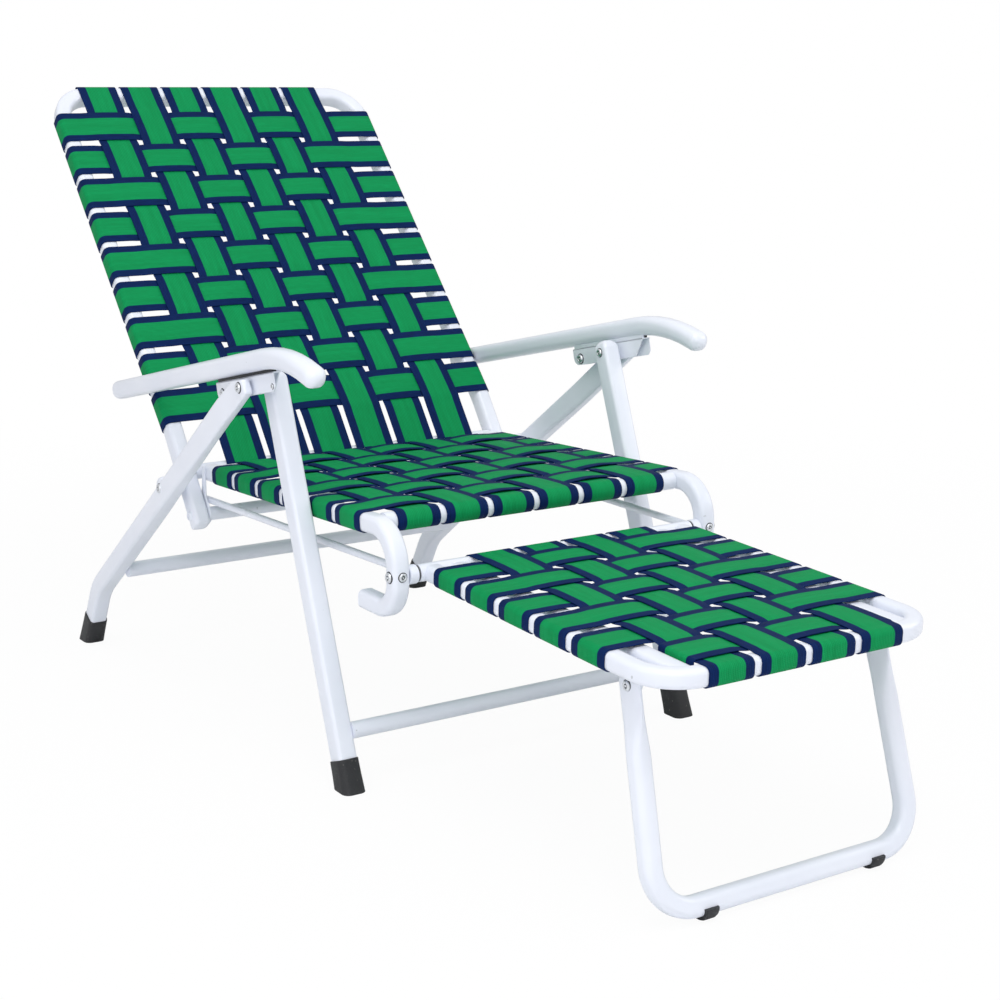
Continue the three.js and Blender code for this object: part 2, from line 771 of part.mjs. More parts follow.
put('front_crossbar', rod(-axleEnd, axleEnd, FRONT_BAR, CROSSBAR_R), WHITE);
const seatPin = rod(backIn - SEAT_PIN_OUT, railOut + SEAT_PIN_IN, frontPivot, PIN_R, PIN_SIDES);
putPair('seat_pivot_pin', seatPin, STEEL);
const bracketIn = -BRACKET_X + BRACKET_W / 2;
const bracketOut = -BRACKET_X - BRACKET_W / 2;
const frontTopRivet = turned(
  [
    [bracketIn + SEAM, PIN_R],
    [backIn + SEAM, PIN_R],
    [backIn + SEAM, RIVET_HEAD_R],
    [backIn + SEAM + RIVET_HEAD_T, RIVET_HEAD_R * 0.7],
  ],
  frontPin,
);
putPair('front_top_rivet', frontTopRivet, STEEL);

// Rear legs with the ear that hangs them on the back
const rearOut = -REAR_X - FRAME_W / 2;
const rearIn = -REAR_X + FRAME_W / 2;
const rearFootRun = Math.hypot(REAR_FOOT_Y - REAR_BEND[0], REAR_BEND[1]);
const rearFootWay = [(REAR_BEND[0] - REAR_FOOT_Y) / rearFootRun, REAR_BEND[1] / rearFootRun];
const rearEnd = along([REAR_FOOT_Y, 0], rearFootWay, REAR_END_Z / rearFootWay[1]);
const rearTopRun = Math.hypot(REAR_BEND[0] - REAR_PIN[0], REAR_BEND[1] - REAR_PIN[1]);
const rearTopWay = [(REAR_BEND[0] - REAR_PIN[0]) / rearTopRun, (REAR_BEND[1] - REAR_PIN[1]) / rearTopRun];
const rearFlatOut = rearIn - REAR_FLAT_T;
const pressShape = new THREE.Shape();
pressShape.moveTo(-FRAME_D, rearOut - 1);
pressShape.lineTo(REAR_FLAT_END, rearOut - 1);
pressShape.lineTo(REAR_FLAT_END, rearOut);
pressShape.lineTo(REAR_FLAT_RUN, rearFlatOut);
pressShape.lineTo(-FRAME_D, rearFlatOut);
const press = new THREE.ExtrudeGeometry(pressShape, { depth: FRAME_D * 2, bevelEnabled: false });
press.translate(0, 0, -FRAME_D);
press.applyMatrix4(
  new THREE.Matrix4().makeBasis(
    new THREE.Vector3(0, ...rearTopWay),
    SIDE_NORMAL,
    new THREE.Vector3(0, rearTopWay[1], -rearTopWay[0]),
  ),
);
press.translate(0, ...REAR_PIN);
putPair(
  'rear_leg',
  cut(
    join(
      sideBar(-REAR_X, [REAR_PIN, REAR_BEND, rearEnd], [REAR_BEND_R], FRAME_W, FRAME_D, FRAME_R),
      tongue(-REAR_X, REAR_PIN, FRAME_W, FRAME_D, FRAME_R),
      tongue(-REAR_X, EAR, FRAME_W, EAR_R * 2, FRAME_R),
    ),
    press,
    rod(rearOut - 1, rearIn + 1, REAR_PIN, HOLE_R, PIN_SIDES),
    rod(rearOut - 1, rearIn + 1, EAR, HOLE_R, PIN_SIDES),
  ),
  WHITE,
);
const rearCapEnd = along(rearEnd, rearFootWay, -SEAM);
putPair('rear_foot', foot(-REAR_X, rearCapEnd, rearFootWay, FRAME_W, FRAME_D, REAR_CAP_H), RUBBER);
put('rear_crossbar', rod(rearIn + SEAM, -rearIn - SEAM, REAR_BAR, REAR_BAR_R), WHITE);
const earBolt = turned(
  [
    [rearOut - SEAM - HEAD_T, HEAD_R * 0.72],
    [rearOut - SEAM - HEAD_T * 0.45, HEAD_R],
    [rearOut - SEAM, HEAD_R],
    [rearOut - SEAM, PIN_R],
    [rearIn + SEAM, PIN_R],
    [rearIn + SEAM, EAR_COLLAR_R],
    [backOut - SEAM, EAR_COLLAR_R],
    [backOut - SEAM, PIN_R],
    [backIn - SEAM, PIN_R],
  ],
  EAR,
);
putPair('ear_bolt', earBolt, STEEL);
putPair('rear_top_rivet', bolt(rearFlatOut - SEAM, rearIn, REAR_PIN, RIVET_HEAD_R, RIVET_HEAD_T), STEEL);

// Armrests
const armIn = -ARM_X + ARM_W / 2;
const armPoints = [ARM_REAR, ARM_PEAK, ARM_TIP];
const armHole = rod(armIn - ARM_PIN_DEPTH - SEAM, armIn + 1, armPivot, HOLE_R, PIN_SIDES);
putPair(
  'armrest',
  cut(
    join(
      sideBar(-ARM_X, armPoints, [ARM_BEND_R], ARM_W, ARM_D, ARM_R),
      tongue(-ARM_X, ARM_REAR, ARM_W, ARM_D, ARM_R),
      tongue(-ARM_X, ARM_TIP, ARM_W, ARM_D, ARM_R),
    ),
    armHole,
  ),
  WHITE,
);
putPair('armrest_pin', rod(armIn - ARM_PIN_DEPTH, armPinIn, armPivot, PIN_R, PIN_SIDES), STEEL);

// Brackets: narrow channels, open below and in front, that follow the armrests' undersides
const armUp = [-armWay[1], armWay[0]];
const armDown = [armUp[0] * -Math.sign(armUp[1]), -Math.abs(armUp[1])];
const armLineAt = (y) => along(ARM_REAR, armWay, (y - ARM_REAR[0]) / armWay[0]);
const bracketPoint = (y, depth) => along(armLineAt(y), armDown, depth);
const bracketLow = ARM_D / 2 + SEAM + BRACKET_H;
const bracketShape = new THREE.Shape();
const bracketCorners = [
  bracketPoint(BRACKET_REAR_Y, 2),
  bracketPoint(BRACKET_FRONT_Y, 2),
  bracketPoint(BRACKET_FRONT_Y, bracketLow - BRACKET_SLANT),
  bracketPoint(BRACKET_FRONT_Y + BRACKET_SLANT, bracketLow),
  bracketPoint(BRACKET_REAR_Y - BRACKET_ROUND, bracketLow),
];
bracketShape.moveTo(...bracketCorners[0]);
for (const corner of bracketCorners.slice(1)) {
  bracketShape.lineTo(...corner);
}
const bracketTurn = bracketPoint(BRACKET_REAR_Y, bracketLow);
const bracketBack = bracketPoint(BRACKET_REAR_Y, bracketLow - BRACKET_ROUND);
bracketShape.quadraticCurveTo(...bracketTurn, ...bracketBack);
const armRoom = sideBar(
  -ARM_X,
  armPoints,
  [ARM_BEND_R],
  ARM_W + 2 * SEAM,
  ARM_D + 2 * SEAM,
  ARM_R + SEAM,
);
const webDepth = ARM_D / 2 + SEAM + BRACKET_WALL;
const channelShape = new THREE.Shape();
const channelCorners = [
  bracketPoint(BRACKET_REAR_Y + 9, webDepth + 1),
  bracketPoint(BRACKET_FRONT_Y - 9, webDepth + 1),
  bracketPoint(BRACKET_FRONT_Y - 9, bracketLow + 9),
  bracketPoint(BRACKET_REAR_Y + 9, bracketLow + 9),
];
channelShape.moveTo(...channelCorners[0]);
for (const corner of channelCorners.slice(1)) {
  channelShape.lineTo(...corner);
}
const notch = block(
  -BRACKET_X - BRACKET_W,
  -BRACKET_X + BRACKET_W,
  -NOTCH_W / 2,
  NOTCH_W / 2,
  -NOTCH_H,
  NOTCH_H,
);
notch.rotateX(radians(NOTCH_DEG));
notch.translate(0, ...bracketPoint(NOTCH_Y, bracketLow));
const bracketRivetPoint = bracketPoint(BRACKET_RIVET_Y, bracketLow - BRACKET_H / 2);
putPair(
  'leg_bracket',
  cut(
    plate(bracketShape, bracketOut, bracketIn),
    armRoom,
    plate(channelShape, bracketOut + BRACKET_WALL, bracketIn - BRACKET_WALL),
    notch,
    rod(bracketOut - 1, bracketIn + 1, bracketRivetPoint, RIVET_R + SEAM, PIN_SIDES),
  ),
  WHITE,
);
const bracketRivet = turned(
  [
    [bracketOut - RIVET_HEAD_T, RIVET_HEAD_R * 0.7],
    [bracketOut - SEAM, RIVET_HEAD_R],
    [bracketOut - SEAM, RIVET_R],
    [bracketIn + SEAM, RIVET_R],
    [bracketIn + SEAM, RIVET_HEAD_R],
    [bracketIn + RIVET_HEAD_T, RIVET_HEAD_R * 0.7],
  ],
  bracketRivetPoint,
);
putPair('bracket_rivet', bracketRivet, STEEL);

// Footrest: a hoop closed by the rear bar on the hinge line
const footRun = Math.hypot(hinge[0] - FOOTREST_FRONT[0], hinge[1] - FOOTREST_FRONT[1]);
const footWay = [(hinge[0] - FOOTREST_FRONT[0]) / footRun, (hinge[1] - FOOTREST_FRONT[1]) / footRun];
const footNormal = new THREE.Vector3(0, -footWay[1], footWay[0]);
const footBarR = FOOTREST_TUBE / 2;
const hingeBarEnd = footrestOut + HINGE_BAR_OUT;
put(
  'footrest_frame',
  cut(
    bar(
      [at(-FOOTREST_X, hinge), at(-FOOTREST_X, FOOTREST_FRONT), at(FOOTREST_X, FOOTREST_FRONT), at(FOOTREST_X, hinge)],
      [FOOTREST_CORNER, FOOTREST_CORNER],
      footNormal,
      roundedRect(FOOTREST_TUBE, FOOTREST_TUBE, FOOTREST_R),
    ),
    rod(-footrestOut - 9, footrestOut + 9, hinge, footBarR + SEAM),
  ),
  WHITE,
);
put(
  'footrest_rear_bar',
  cut(
    rod(-hingeBarEnd, hingeBarEnd, hinge, footBarR),
    rod(-hingeBarEnd - 1, -footrestIn, hinge, HOLE_R, PIN_SIDES),
    rod(footrestIn, hingeBarEnd + 1, hinge, HOLE_R, PIN_SIDES),
  ),
  WHITE,
);
const footAcross = row(
  FOOT_ACROSS_N,
  -FOOT_ACROSS_PITCH,
  footRun + (FOOT_ACROSS_REAR_Y - HOOK_Y) / footWay[0] - STRAP,
);
putWebbing('footrest_webbing', {
  origin: FOOTREST_FRONT,
  v: footWay,
  side: { x: FOOTREST_X, a: footBarR, b: footBarR, r: FOOTREST_R },
  bars: {
    low: 0,
    high: footRun,
    a: footBarR,
    b: footBarR,
    lowR: FOOTREST_R,
    highR: footBarR,
    round: true,
  },
  across: footAcross,
  acrossWidth: STRAP,
  alongCentres: centred(FOOT_ALONG_N, FOOT_ALONG_PITCH),
});

// Folding leg under the footrest's front, hung from a lug on each side tube
const legIn = -footrestIn - SEAM;
const legOut = legIn - LEG_FLAT_T;
const legFlatX = (legIn + legOut) / 2;
const legRun = Math.hypot(LEG_PIVOT[0] - LEG_BAR[0], LEG_PIVOT[1] - LEG_BAR[1]);
const legWay = [(LEG_PIVOT[0] - LEG_BAR[0]) / legRun, (LEG_PIVOT[1] - LEG_BAR[1]) / legRun];
const legTop = along(LEG_PIVOT, legWay, -LEG_NECK);
const legFlatLow = along(LEG_PIVOT, legWay, -LEG_FLAT_RUN);
const legNormal = new THREE.Vector3(0, -legWay[1], legWay[0]);
const lugOut = -footrestIn + SEAM;
const lugIn = lugOut + LUG_T;

// Upper end of the leg, pressed flat round the rivet
function legEnd(x, flatX) {
  const slice = bar([at(x, along(legTop, legWay, -1)), at(x, legTop)], [], legNormal, disc(LEG_R), 6);
  const flatSlice = [along(legFlatLow, legWay, -1), legFlatLow];
  return join(
    neck(slice, sideBar(flatX, flatSlice, [], LEG_FLAT_T, LEG_FLAT_W, LUG_T)),
    sideBar(flatX, [flatSlice[0], LEG_PIVOT], [], LEG_FLAT_T, LEG_FLAT_W, LUG_T),
    tongue(flatX, LEG_PIVOT, LEG_FLAT_T, LEG_FLAT_W, LUG_T),
  );
}

put(
  'footrest_leg',
  cut(
    join(
      bar(
        [at(-LEG_X, legTop), at(-LEG_X, LEG_BAR), at(LEG_X, LEG_BAR), at(LEG_X, legTop)],
        [LEG_CORNER, LEG_CORNER],
        legNormal,
        disc(LEG_R),
        6,
      ),
      legEnd(-LEG_X, legFlatX),
      legEnd(LEG_X, -legFlatX),
    ),
    rod(legOut - 1, lugIn, LEG_PIVOT, HOLE_R, PIN_SIDES),
    rod(-lugIn, -legOut + 1, LEG_PIVOT, HOLE_R, PIN_SIDES),
  ),
  WHITE,
);
const tubeAtLug = along(hinge, footWay, (LEG_PIVOT[0] - HOOK_Y) / footWay[0]);
const lugShape = new THREE.Shape();
const lugTop = tubeAtLug[1] + LUG_RISE;
lugShape.moveTo(LEG_PIVOT[0] - LUG_HALF, lugTop);
lugShape.lineTo(LEG_PIVOT[0] - LUG_HALF, LEG_PIVOT[1]);
lugShape.absarc(LEG_PIVOT[0], LEG_PIVOT[1], LUG_HALF, Math.PI, Math.PI * 2, false);
lugShape.lineTo(LEG_PIVOT[0] + LUG_HALF, lugTop);
putPair(
  'leg_lug',
  cut(
    plate(lugShape, lugOut, lugIn),
    rod(lugOut - 1, lugIn + 1, LEG_PIVOT, HOLE_R, PIN_SIDES),
  ),
  WHITE,
);
putPair('leg_rivet', bolt(legOut - SEAM, lugIn + SEAM, LEG_PIVOT, RIVET_HEAD_R, RIVET_HEAD_T), STEEL);
putPair(
  'leg_pad',
  cut(
    rod(-PAD_X - PAD_W / 2, -PAD_X + PAD_W / 2, LEG_BAR, PAD_R),
    rod(-PAD_X - PAD_W, -PAD_X + PAD_W, LEG_BAR, LEG_R + SEAM),
    below(-PAD_X, LEG_BAR[0], 0),
    below(-PAD_X, LEG_BAR[0], LEG_BAR[1] + FLOOR_CUT),
  ),
  RUBBER,
);

// Origin on the floor under the middle of the whole chair
group.updateMatrixWorld(true);
const box = new THREE.Box3().setFromObject(group, true);
const middle = (box.min.y + box.max.y) / 2;
group.position.set(0, -middle, 0);
group.updateMatrixWorld(true);
group.userData = { middle, box, hinge, frontPivot, armPivot, frontPin };

export default group;
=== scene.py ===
import math

import bmesh
import bpy
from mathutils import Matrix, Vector


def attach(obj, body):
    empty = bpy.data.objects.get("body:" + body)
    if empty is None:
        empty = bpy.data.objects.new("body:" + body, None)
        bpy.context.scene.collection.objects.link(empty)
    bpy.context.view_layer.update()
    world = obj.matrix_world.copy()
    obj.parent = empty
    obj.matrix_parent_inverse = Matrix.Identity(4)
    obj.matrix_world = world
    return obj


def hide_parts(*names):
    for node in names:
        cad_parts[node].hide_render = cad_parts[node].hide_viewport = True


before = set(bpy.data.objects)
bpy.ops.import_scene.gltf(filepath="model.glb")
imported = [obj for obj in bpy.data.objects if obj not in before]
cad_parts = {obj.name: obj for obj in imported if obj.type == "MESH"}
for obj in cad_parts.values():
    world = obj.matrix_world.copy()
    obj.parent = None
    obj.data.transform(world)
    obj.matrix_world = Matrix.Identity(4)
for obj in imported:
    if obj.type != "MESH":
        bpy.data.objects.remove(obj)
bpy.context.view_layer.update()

# Sizes of the chair in millimetres. Side-view points are (y, z), the footrest points to -Y.
MIDDLE_Y = 275.34765625
SEAT_X, BACK_X, ARM_X, REAR_X = 217.5, 243.5, 271.0, 277.5
FOOTREST_X, LEG_X, ROD_X, INNER_RAIL_X = 176.0, 172.0, 200.5, 143.0

# Seat
RAIL_END, HOOK_Y, HOOK_LOW_Z, HOOK_END_Y = (506.0, 302.0), 14.5, 228.5, 86.7
RAIL_TUBE, RAIL_CORNER, RAIL_BENDS = 22.0, 6.5, (42.0, 34.0)
PLUG, PLUG_CORNER, PLUG_REACH, PLUG_DOME = 17.0, 4.5, (0.1, 2.0), 1.3
SEAT_RISE = math.radians(2.35)
SEAT_BARS_Y, SEAT_BAR_END, SEAT_BAR_R = (66.0, 487.0), 206.2, 11.0
AXLE, AXLE_R, HINGE, EAR = (495.0, 249.0), 9.0, (14.5, 270.0), (513.0, 287.0)
ROD, ROD_REAR, ROD_ABOVE_HINGE = 9.0, (224.0, 509.0, 266.0), 2.0
SLEEVE_X, SLEEVE = 200.75, ((5.45, 0), (5.45, 10.2), (4.65, 11))
WASHER_X, WASHER = 194.3, ((0.9, 0), (0.9, 9.2), (0.6, 9.6))
HANGER_X, HANGER_Y, HANGER_R = (228.7, 231.6), (498.0, 506.0, 511.0), 12.0
HINGE_HEAD_X, AXLE_HEAD_X, HOOK_RIVET_Z = 228.5, 254.6, 271.0
HANGER_WAIST_Z, HANGER_RAIL_Y, HANGER_RAIL_REACH = (272.0, 270.0), 500.0, (14.0, 9.0)

# Back
BACK_LOW, BACK_HIGH = math.radians(35.0), math.radians(41.8)
BACK_BEND_AT, BACK_TOP_AT, BACK_BELOW_AXLE, BACK_BENDS = 125.0, 580.0, 14.0, (150, 45, 45, 150)
BACK_TUBE, BACK_CORNER, BACK_DOME = (25.0, 22.0), 6.5, 4.0
FOOT_BAR_UP, FOOT_BAR_R, BACK_BAR_END = 62.0, 10.0, 232.2

# Legs
LEG_SIZE, LEG_CORNER = (24.0, 27.0), 5.0
FRONT_FOOT_Y, FRONT_LEAN, FRONT_LEG_Z, FRONT_LEG_DOME, FRONT_PIN_Z = 88.0, 0.365, (9.0, 459.0), 12.5, 456.0
FRONT_CROSSBAR, FRONT_BAR_R = (104.0, 66.0), 10.0
REAR_CROSSBAR, REAR_BAR_R, REAR_BAR_END = (697.0, 133.0), 10.5, 266.2
REAR_TOP, REAR_ABOVE_TOP, REAR_BEND, REAR_BEND_R = (275.0, 450.6), 19.0, (772.0, 92.0), 90.0
REAR_FOOT_Y, REAR_END_Z, REAR_DOME = 824.0, 11.0, 5.0
REAR_FACE_X, REAR_INNER_X, REAR_RIVET = 287.0, 275.6, (263.7, 453.6)
PRESS_START, PRESS_RUN, PRESS_SPREAD = 330.0, 215.0, 0.35
FACE_START, FACE_RUN, REAR_CUT_Y, REAR_CUT_DEPTH = 60.0, 50.0, 270.0, 20.0
EAR_DISC = ((11, 0), (11, 10), (9.6, 13.6), (6, 15))
COLLAR_X, COLLAR_R, COLLAR_CHAMFER = (254.8, 267.0), 8.0, 0.6
FOOT_SIZE, FOOT_CORNER, FRONT_FOOT_HEIGHT, REAR_FOOT_HEIGHT = (28.0, 31.0), 8.5, 34.0, 42.0

# Armrests and their brackets
ARM_REAR, ARM_PEAK, ARM_TIP = (672.4, 394.5), (165.0, 504.0), (102.0, 486.0)
ARM_TUBE, ARM_CORNER, ARM_BEND, ARM_DOME, ARM_UNDERSIDE = (27.0, 25.0), 10.5, 245.0, 12.5, 11.0
BRACKET_X, BRACKET_Y, BRACKET_DEPTH, SHEET = (262.5, 272.5), (204.0, 363.0), (16.2, 38.8), 1.6
BRACKET_ROUND, BRACKET_CHAMFER, BRACKET_FLAT_END, NOTCH = 12.0, 5.0, 15.0, (1.0, 20.0, 24.0)
LEDGE_WIDTH, LEDGE_INSET, SHADE_STRIP_INSET = 4.0, (3.0, 4.0), 1.2
# Rivets of a bracket: y and depth below the armrest's line
REAR_BRACKET_RIVET, LEG_BRACKET_RIVET, CORNER_RIVET = (347.0, 30.4), (292.0, 26.5), (210.0, 33.0)

# Footrest and its folding leg
FOOTREST_FRONT, LEG_PIVOT, LEG_BAR = (-407.0, 255.0), (-340.0, 235.0), (-398.0, 15.0)
FOOTREST_TUBE, FOOTREST_CORNER, FOOTREST_BEND, FOOTREST_PAST_HINGE = 20.0, 6.0, 45.0, 7.5
HINGE_BAR_END, HINGE_BAR_R = 192.6, 10.0
INNER_RAIL, INNER_RAIL_CORNER, INNER_RAIL_INSET = (24.0, 16.0), 6.0, 8.0
STAND_TUBE, STAND_CORNER, STAND_BEND, STAND_DOME = 22.0, 8.0, 46.0, 14.0
LEG_TOP_X, LEG_TONGUE, LEG_TONGUE_WIDTH, LEG_TONGUE_BACK = 162.2, 6.2, 33.0, 1.5
TONGUE_START, TONGUE_RUN, STAND_PIN_SHIFT = 74.0, 56.0, 3.5
LUG_R, LUG_SHEET, LUG_GAP, LUG_HALF, SHELF_HALF, SHELF_Z = 11.0, 3.0, 0.4, 10.0, 8.0, (-2.0, 0.8)
PAD_X, PAD_DISC = 112.0, ((8.5, 0), (8.5, 13), (7.6, 15.2), (5.5, 16))

# Webbing
STRAP_THICKNESS, STRAP_GAP, STRAP_EDGE, STRAP_LIFT = 1.25, 0.3, 0.5, 0.95
STRAP_OFFSET, STRAP_STEP, STRAP_TUCK = STRAP_GAP + STRAP_THICKNESS / 2, 3.0, 0.3
WEAVE_BLEND, WEAVE_INSET, HUMP_SPILL = 16.0, 2.0, 6.0
BACK_CROSS_WIDTH, BACK_CROSS_PITCH, BACK_CROSS_START = 51.5, 60.4, 4.0
BACK_LONG_WIDTH, BACK_LONG_PITCH = 58.5, 66.0
SEAT_CROSS_WIDTH, SEAT_CROSS_PITCH, SEAT_CROSS_START = 58.0, 68.0, 13.0
SEAT_LONG_WIDTH, SEAT_LONG_PITCH = 56.5, 64.4
FOOTREST_CROSS_WIDTH, FOOTREST_CROSS_PITCH = 55.0, 65.7
FOOTREST_LONG_WIDTH, FOOTREST_LONG_PITCH, FOOTREST_STRAPS_END = 56.5, 65.5, 12.0
# Counts are across and lengthwise, humps the same, drifts at the low and the high bar
BACK_STRAPS, BACK_HUMPS, BACK_DRIFT = (9, 6), (0.6, 0.4), (4.5, -17.0)
SEAT_STRAPS, SEAT_HUMPS, SEAT_DRIFT = (6, 6), (1.7, 0.5), (-4.0, -1.0)
FOOTREST_STRAPS, FOOTREST_HUMPS, FOOTREST_DRIFT = (6, 4), (0.6, 0.4), (-3.0, 2.0)

ACROSS_CHAIR = Vector((1, 0, 0))
SIDES = (("left", -1), ("right", 1))


def chair(x, y, z):
    return Vector((x, y - MIDDLE_Y, z)) / 1000


def side_point(x, point):
    return chair(x, point[0], point[1])


def step_along(point, way, distance):
    return (point[0] + way[0] * distance, point[1] + way[1] * distance)


def way_between(a, b):
    run = math.hypot(b[0] - a[0], b[1] - a[1])
    return ((b[0] - a[0]) / run, (b[1] - a[1]) / run), run


def smooth(t):
    t = min(max(t, 0.0), 1.0)
    return t * t * (3 - 2 * t)


def rail_z(y):
    return RAIL_END[1] + (RAIL_END[0] - y) * math.tan(SEAT_RISE)


# Node trees

def new_node(tree, kind, inputs, **settings):
    """A node with these settings. Its inputs are linked to sockets or set to constants."""
    node = tree.nodes.new(kind)
    for key, value in settings.items():
        setattr(node, key, value)
    for key, value in inputs.items():
        if isinstance(value, bpy.types.NodeSocket):
            tree.links.new(value, node.inputs[key])
        else:
            node.inputs[key].default_value = value
    return node


def new_group(name, kind, inputs, outputs):
    """A node group of (name, kind, value) inputs, without a value where it is None, and (name, kind) outputs."""
    tree = bpy.data.node_groups.new(name, kind)
    for label, socket in outputs:
        tree.interface.new_socket(label, in_out="OUTPUT", socket_type="NodeSocket" + socket)
    for label, socket, value in inputs:
        made = tree.interface.new_socket(label, in_out="INPUT", socket_type="NodeSocket" + socket)
        if value is not None:
            made.default_value = value
    return tree, tree.nodes.new("NodeGroupInput").outputs


def close_tree(tree, geometry, finish):
    """Ends a tree: real geometry in its finish."""
    real = new_node(tree, "GeometryNodeRealizeInstances", {"Geometry": geometry})
    paint = new_node(tree, "GeometryNodeSetMaterial", {"Geometry": real.outputs["Geometry"], "Material": finish})
    new_node(tree, "NodeGroupOutput", {"Geometry": paint.outputs["Geometry"]})
    return tree


def named_value(tree, name, kind):
    return new_node(tree, "GeometryNodeInputNamedAttribute", {"Name": name}, data_type=kind).outputs["Attribute"]


def store_value(tree, geometry, name, value):
    node = new_node(tree, "GeometryNodeStoreNamedAttribute", {"Geometry": geometry, "Name": name, "Value": value},
                    data_type="FLOAT", domain="POINT")
    return node.outputs["Geometry"]


def math_node(tree, operation, *values):
    return new_node(tree, "ShaderNodeMath", dict(enumerate(values)), operation=operation).outputs["Value"]


def times(tree, first, second):
    return math_node(tree, "MULTIPLY", first, second)


def swept_section_tree():
    """Sweeps a rounded section along each run of edges. Serves the bent tubes and the flat straps."""
    tree, given = new_group("swept_section", "GeometryNodeTree", (
        ("Geometry", "Geometry", None), ("Width", "Float", 0.022), ("Depth", "Float", 0.022),
        ("Corner Radius", "Float", 0.005), ("Corner Steps", "Int", 5), ("Finish", "Material", None),
    ), (("Geometry", "Geometry"),))
    run = new_node(tree, "GeometryNodeMeshToCurve", {"Mesh": given["Geometry"]}).outputs["Curve"]
    way = named_value(tree, "width_way", "FLOAT_VECTOR")
    facing = new_node(tree, "GeometryNodeSetCurveNormal", {"Curve": run}, mode="FREE")
    tree.links.new(way, facing.inputs["Normal"])
    length = tree.nodes.new("GeometryNodeSplineParameter").outputs["Length"]
    path = store_value(tree, facing.outputs["Curve"], "run_along", length)
    section = new_node(tree, "GeometryNodeCurvePrimitiveQuadrilateral",
                       {"Width": given["Width"], "Height": given["Depth"]}).outputs["Curve"]
    fillet = new_node(tree, "GeometryNodeFilletCurve", {"Curve": section}, mode="POLY")
    tree.links.new(given["Corner Steps"], fillet.inputs["Count"])
    tree.links.new(given["Corner Radius"], fillet.inputs["Radius"])
    position = tree.nodes.new("GeometryNodeInputPosition").outputs["Position"]
    place = new_node(tree, "ShaderNodeSeparateXYZ", {"Vector": position}).outputs["X"]
    across = math_node(tree, "DIVIDE", place, times(tree, given["Width"], 0.5))
    outline = store_value(tree, fillet.outputs["Curve"], "run_across", across)
    sweep = new_node(tree, "GeometryNodeCurveToMesh", {
        "Curve": path, "Profile Curve": outline, "Scale": named_value(tree, "girth", "FLOAT"), "Fill Caps": True,
    })
    return close_tree(tree, sweep.outputs["Mesh"], given["Finish"])


def fastener_tree():
    """Places one turned head on each point, with its own axis."""
    tree, given = new_group("placed_heads", "GeometryNodeTree", (
        ("Geometry", "Geometry", None), ("Head", "Object", None), ("Head Radius", "Float", 0.0055),
        ("Finish", "Material", None),
    ), (("Geometry", "Geometry"),))
    head = new_node(tree, "GeometryNodeObjectInfo", {"Object": given["Head"]}).outputs["Geometry"]
    way = named_value(tree, "head_way", "FLOAT_VECTOR")
    turn = new_node(tree, "FunctionNodeAlignRotationToVector", {"Vector": way}, axis="Z").outputs["Rotation"]
    size = times(tree, given["Head Radius"], named_value(tree, "head_size", "FLOAT"))
    placed = new_node(tree, "GeometryNodeInstanceOnPoints", {
        "Points": given["Geometry"], "Instance": head, "Rotation": turn, "Scale": size,
    })
    return close_tree(tree, placed.outputs["Instances"], given["Finish"])


def noise(tree, point, scale, detail):
    inputs = {"Vector": point, "Scale": scale, "Detail": detail}
    return new_node(tree, "ShaderNodeTexNoise", inputs).outputs["Fac"]


def mottle_group():
    """Soft blotches, a fine skin and a few small specks over any finish."""
    tree, given = new_group("mottle", "ShaderNodeTree", (
        ("Point", "Vector", None), ("Blotch Scale", "Float", 9.0), ("Skin Scale", "Float", 420.0),
        ("Speck Scale", "Float", 160.0), ("Speck Level", "Float", 0.74),
    ), (("Blotch", "Float"), ("Skin", "Float"), ("Specks", "Float")))
    speck = noise(tree, given["Point"], given["Speck Scale"], 1.0)
    sharp = times(tree, math_node(tree, "SUBTRACT", speck, given["Speck Level"]), 30.0)
    new_node(tree, "NodeGroupOutput", {
        "Blotch": noise(tree, given["Point"], given["Blotch Scale"], 3.0),
        "Skin": noise(tree, given["Point"], given["Skin Scale"], 2.0),
        "Specks": new_node(tree, "ShaderNodeClamp", {"Value": sharp}).outputs["Result"],
    })
    return tree


def yarn_group():
    """Ribs along a strap and the picks that cross them, from its own length and width."""
    tree, given = new_group("yarns", "ShaderNodeTree", (
        ("Across", "Float", 0.0), ("Along", "Float", 0.0), ("Ribs", "Float", 26.0), ("Pick Pitch", "Float", 0.0021),
    ), (("Yarn", "Float"),))
    phase = times(tree, given["Across"], times(tree, given["Ribs"], math.pi))
    half_phase = times(tree, phase, 0.5)
    rib = math_node(tree, "COSINE", phase)
    turns = math_node(tree, "DIVIDE", given["Along"], given["Pick Pitch"])
    pick_phase = times(tree, turns, 2 * math.pi)
    pick = math_node(tree, "SINE", math_node(tree, "ADD", pick_phase, half_phase))
    yarn = times(tree, pick, math_node(tree, "ABSOLUTE", math_node(tree, "COSINE", half_phase)))
    ribbed, picked = times(tree, rib, 0.3), times(tree, yarn, 0.2)
    new_node(tree, "NodeGroupOutput", {"Yarn": math_node(tree, "ADD", math_node(tree, "ADD", ribbed, picked), 0.5)})
    return tree


SWEPT, HEADS, MOTTLE, YARNS = swept_section_tree(), fastener_tree(), mottle_group(), yarn_group()


# Finishes

def colour(hex_code):
    """Linear colour from a written sRGB one."""
    parts = [int(hex_code[i:i + 2], 16) / 255 for i in (0, 2, 4)]
    return [p / 12.92 if p <= 0.04045 else ((p + 0.055) / 1.055) ** 2.4 for p in parts] + [1.0]


def new_finish(name):
    material = bpy.data.materials.new(name)
    material.use_nodes = True
    tree = material.node_tree
    return material, tree, tree.nodes["Principled BSDF"]


def object_point(tree):
    return tree.nodes.new("ShaderNodeTexCoord").outputs["Object"]


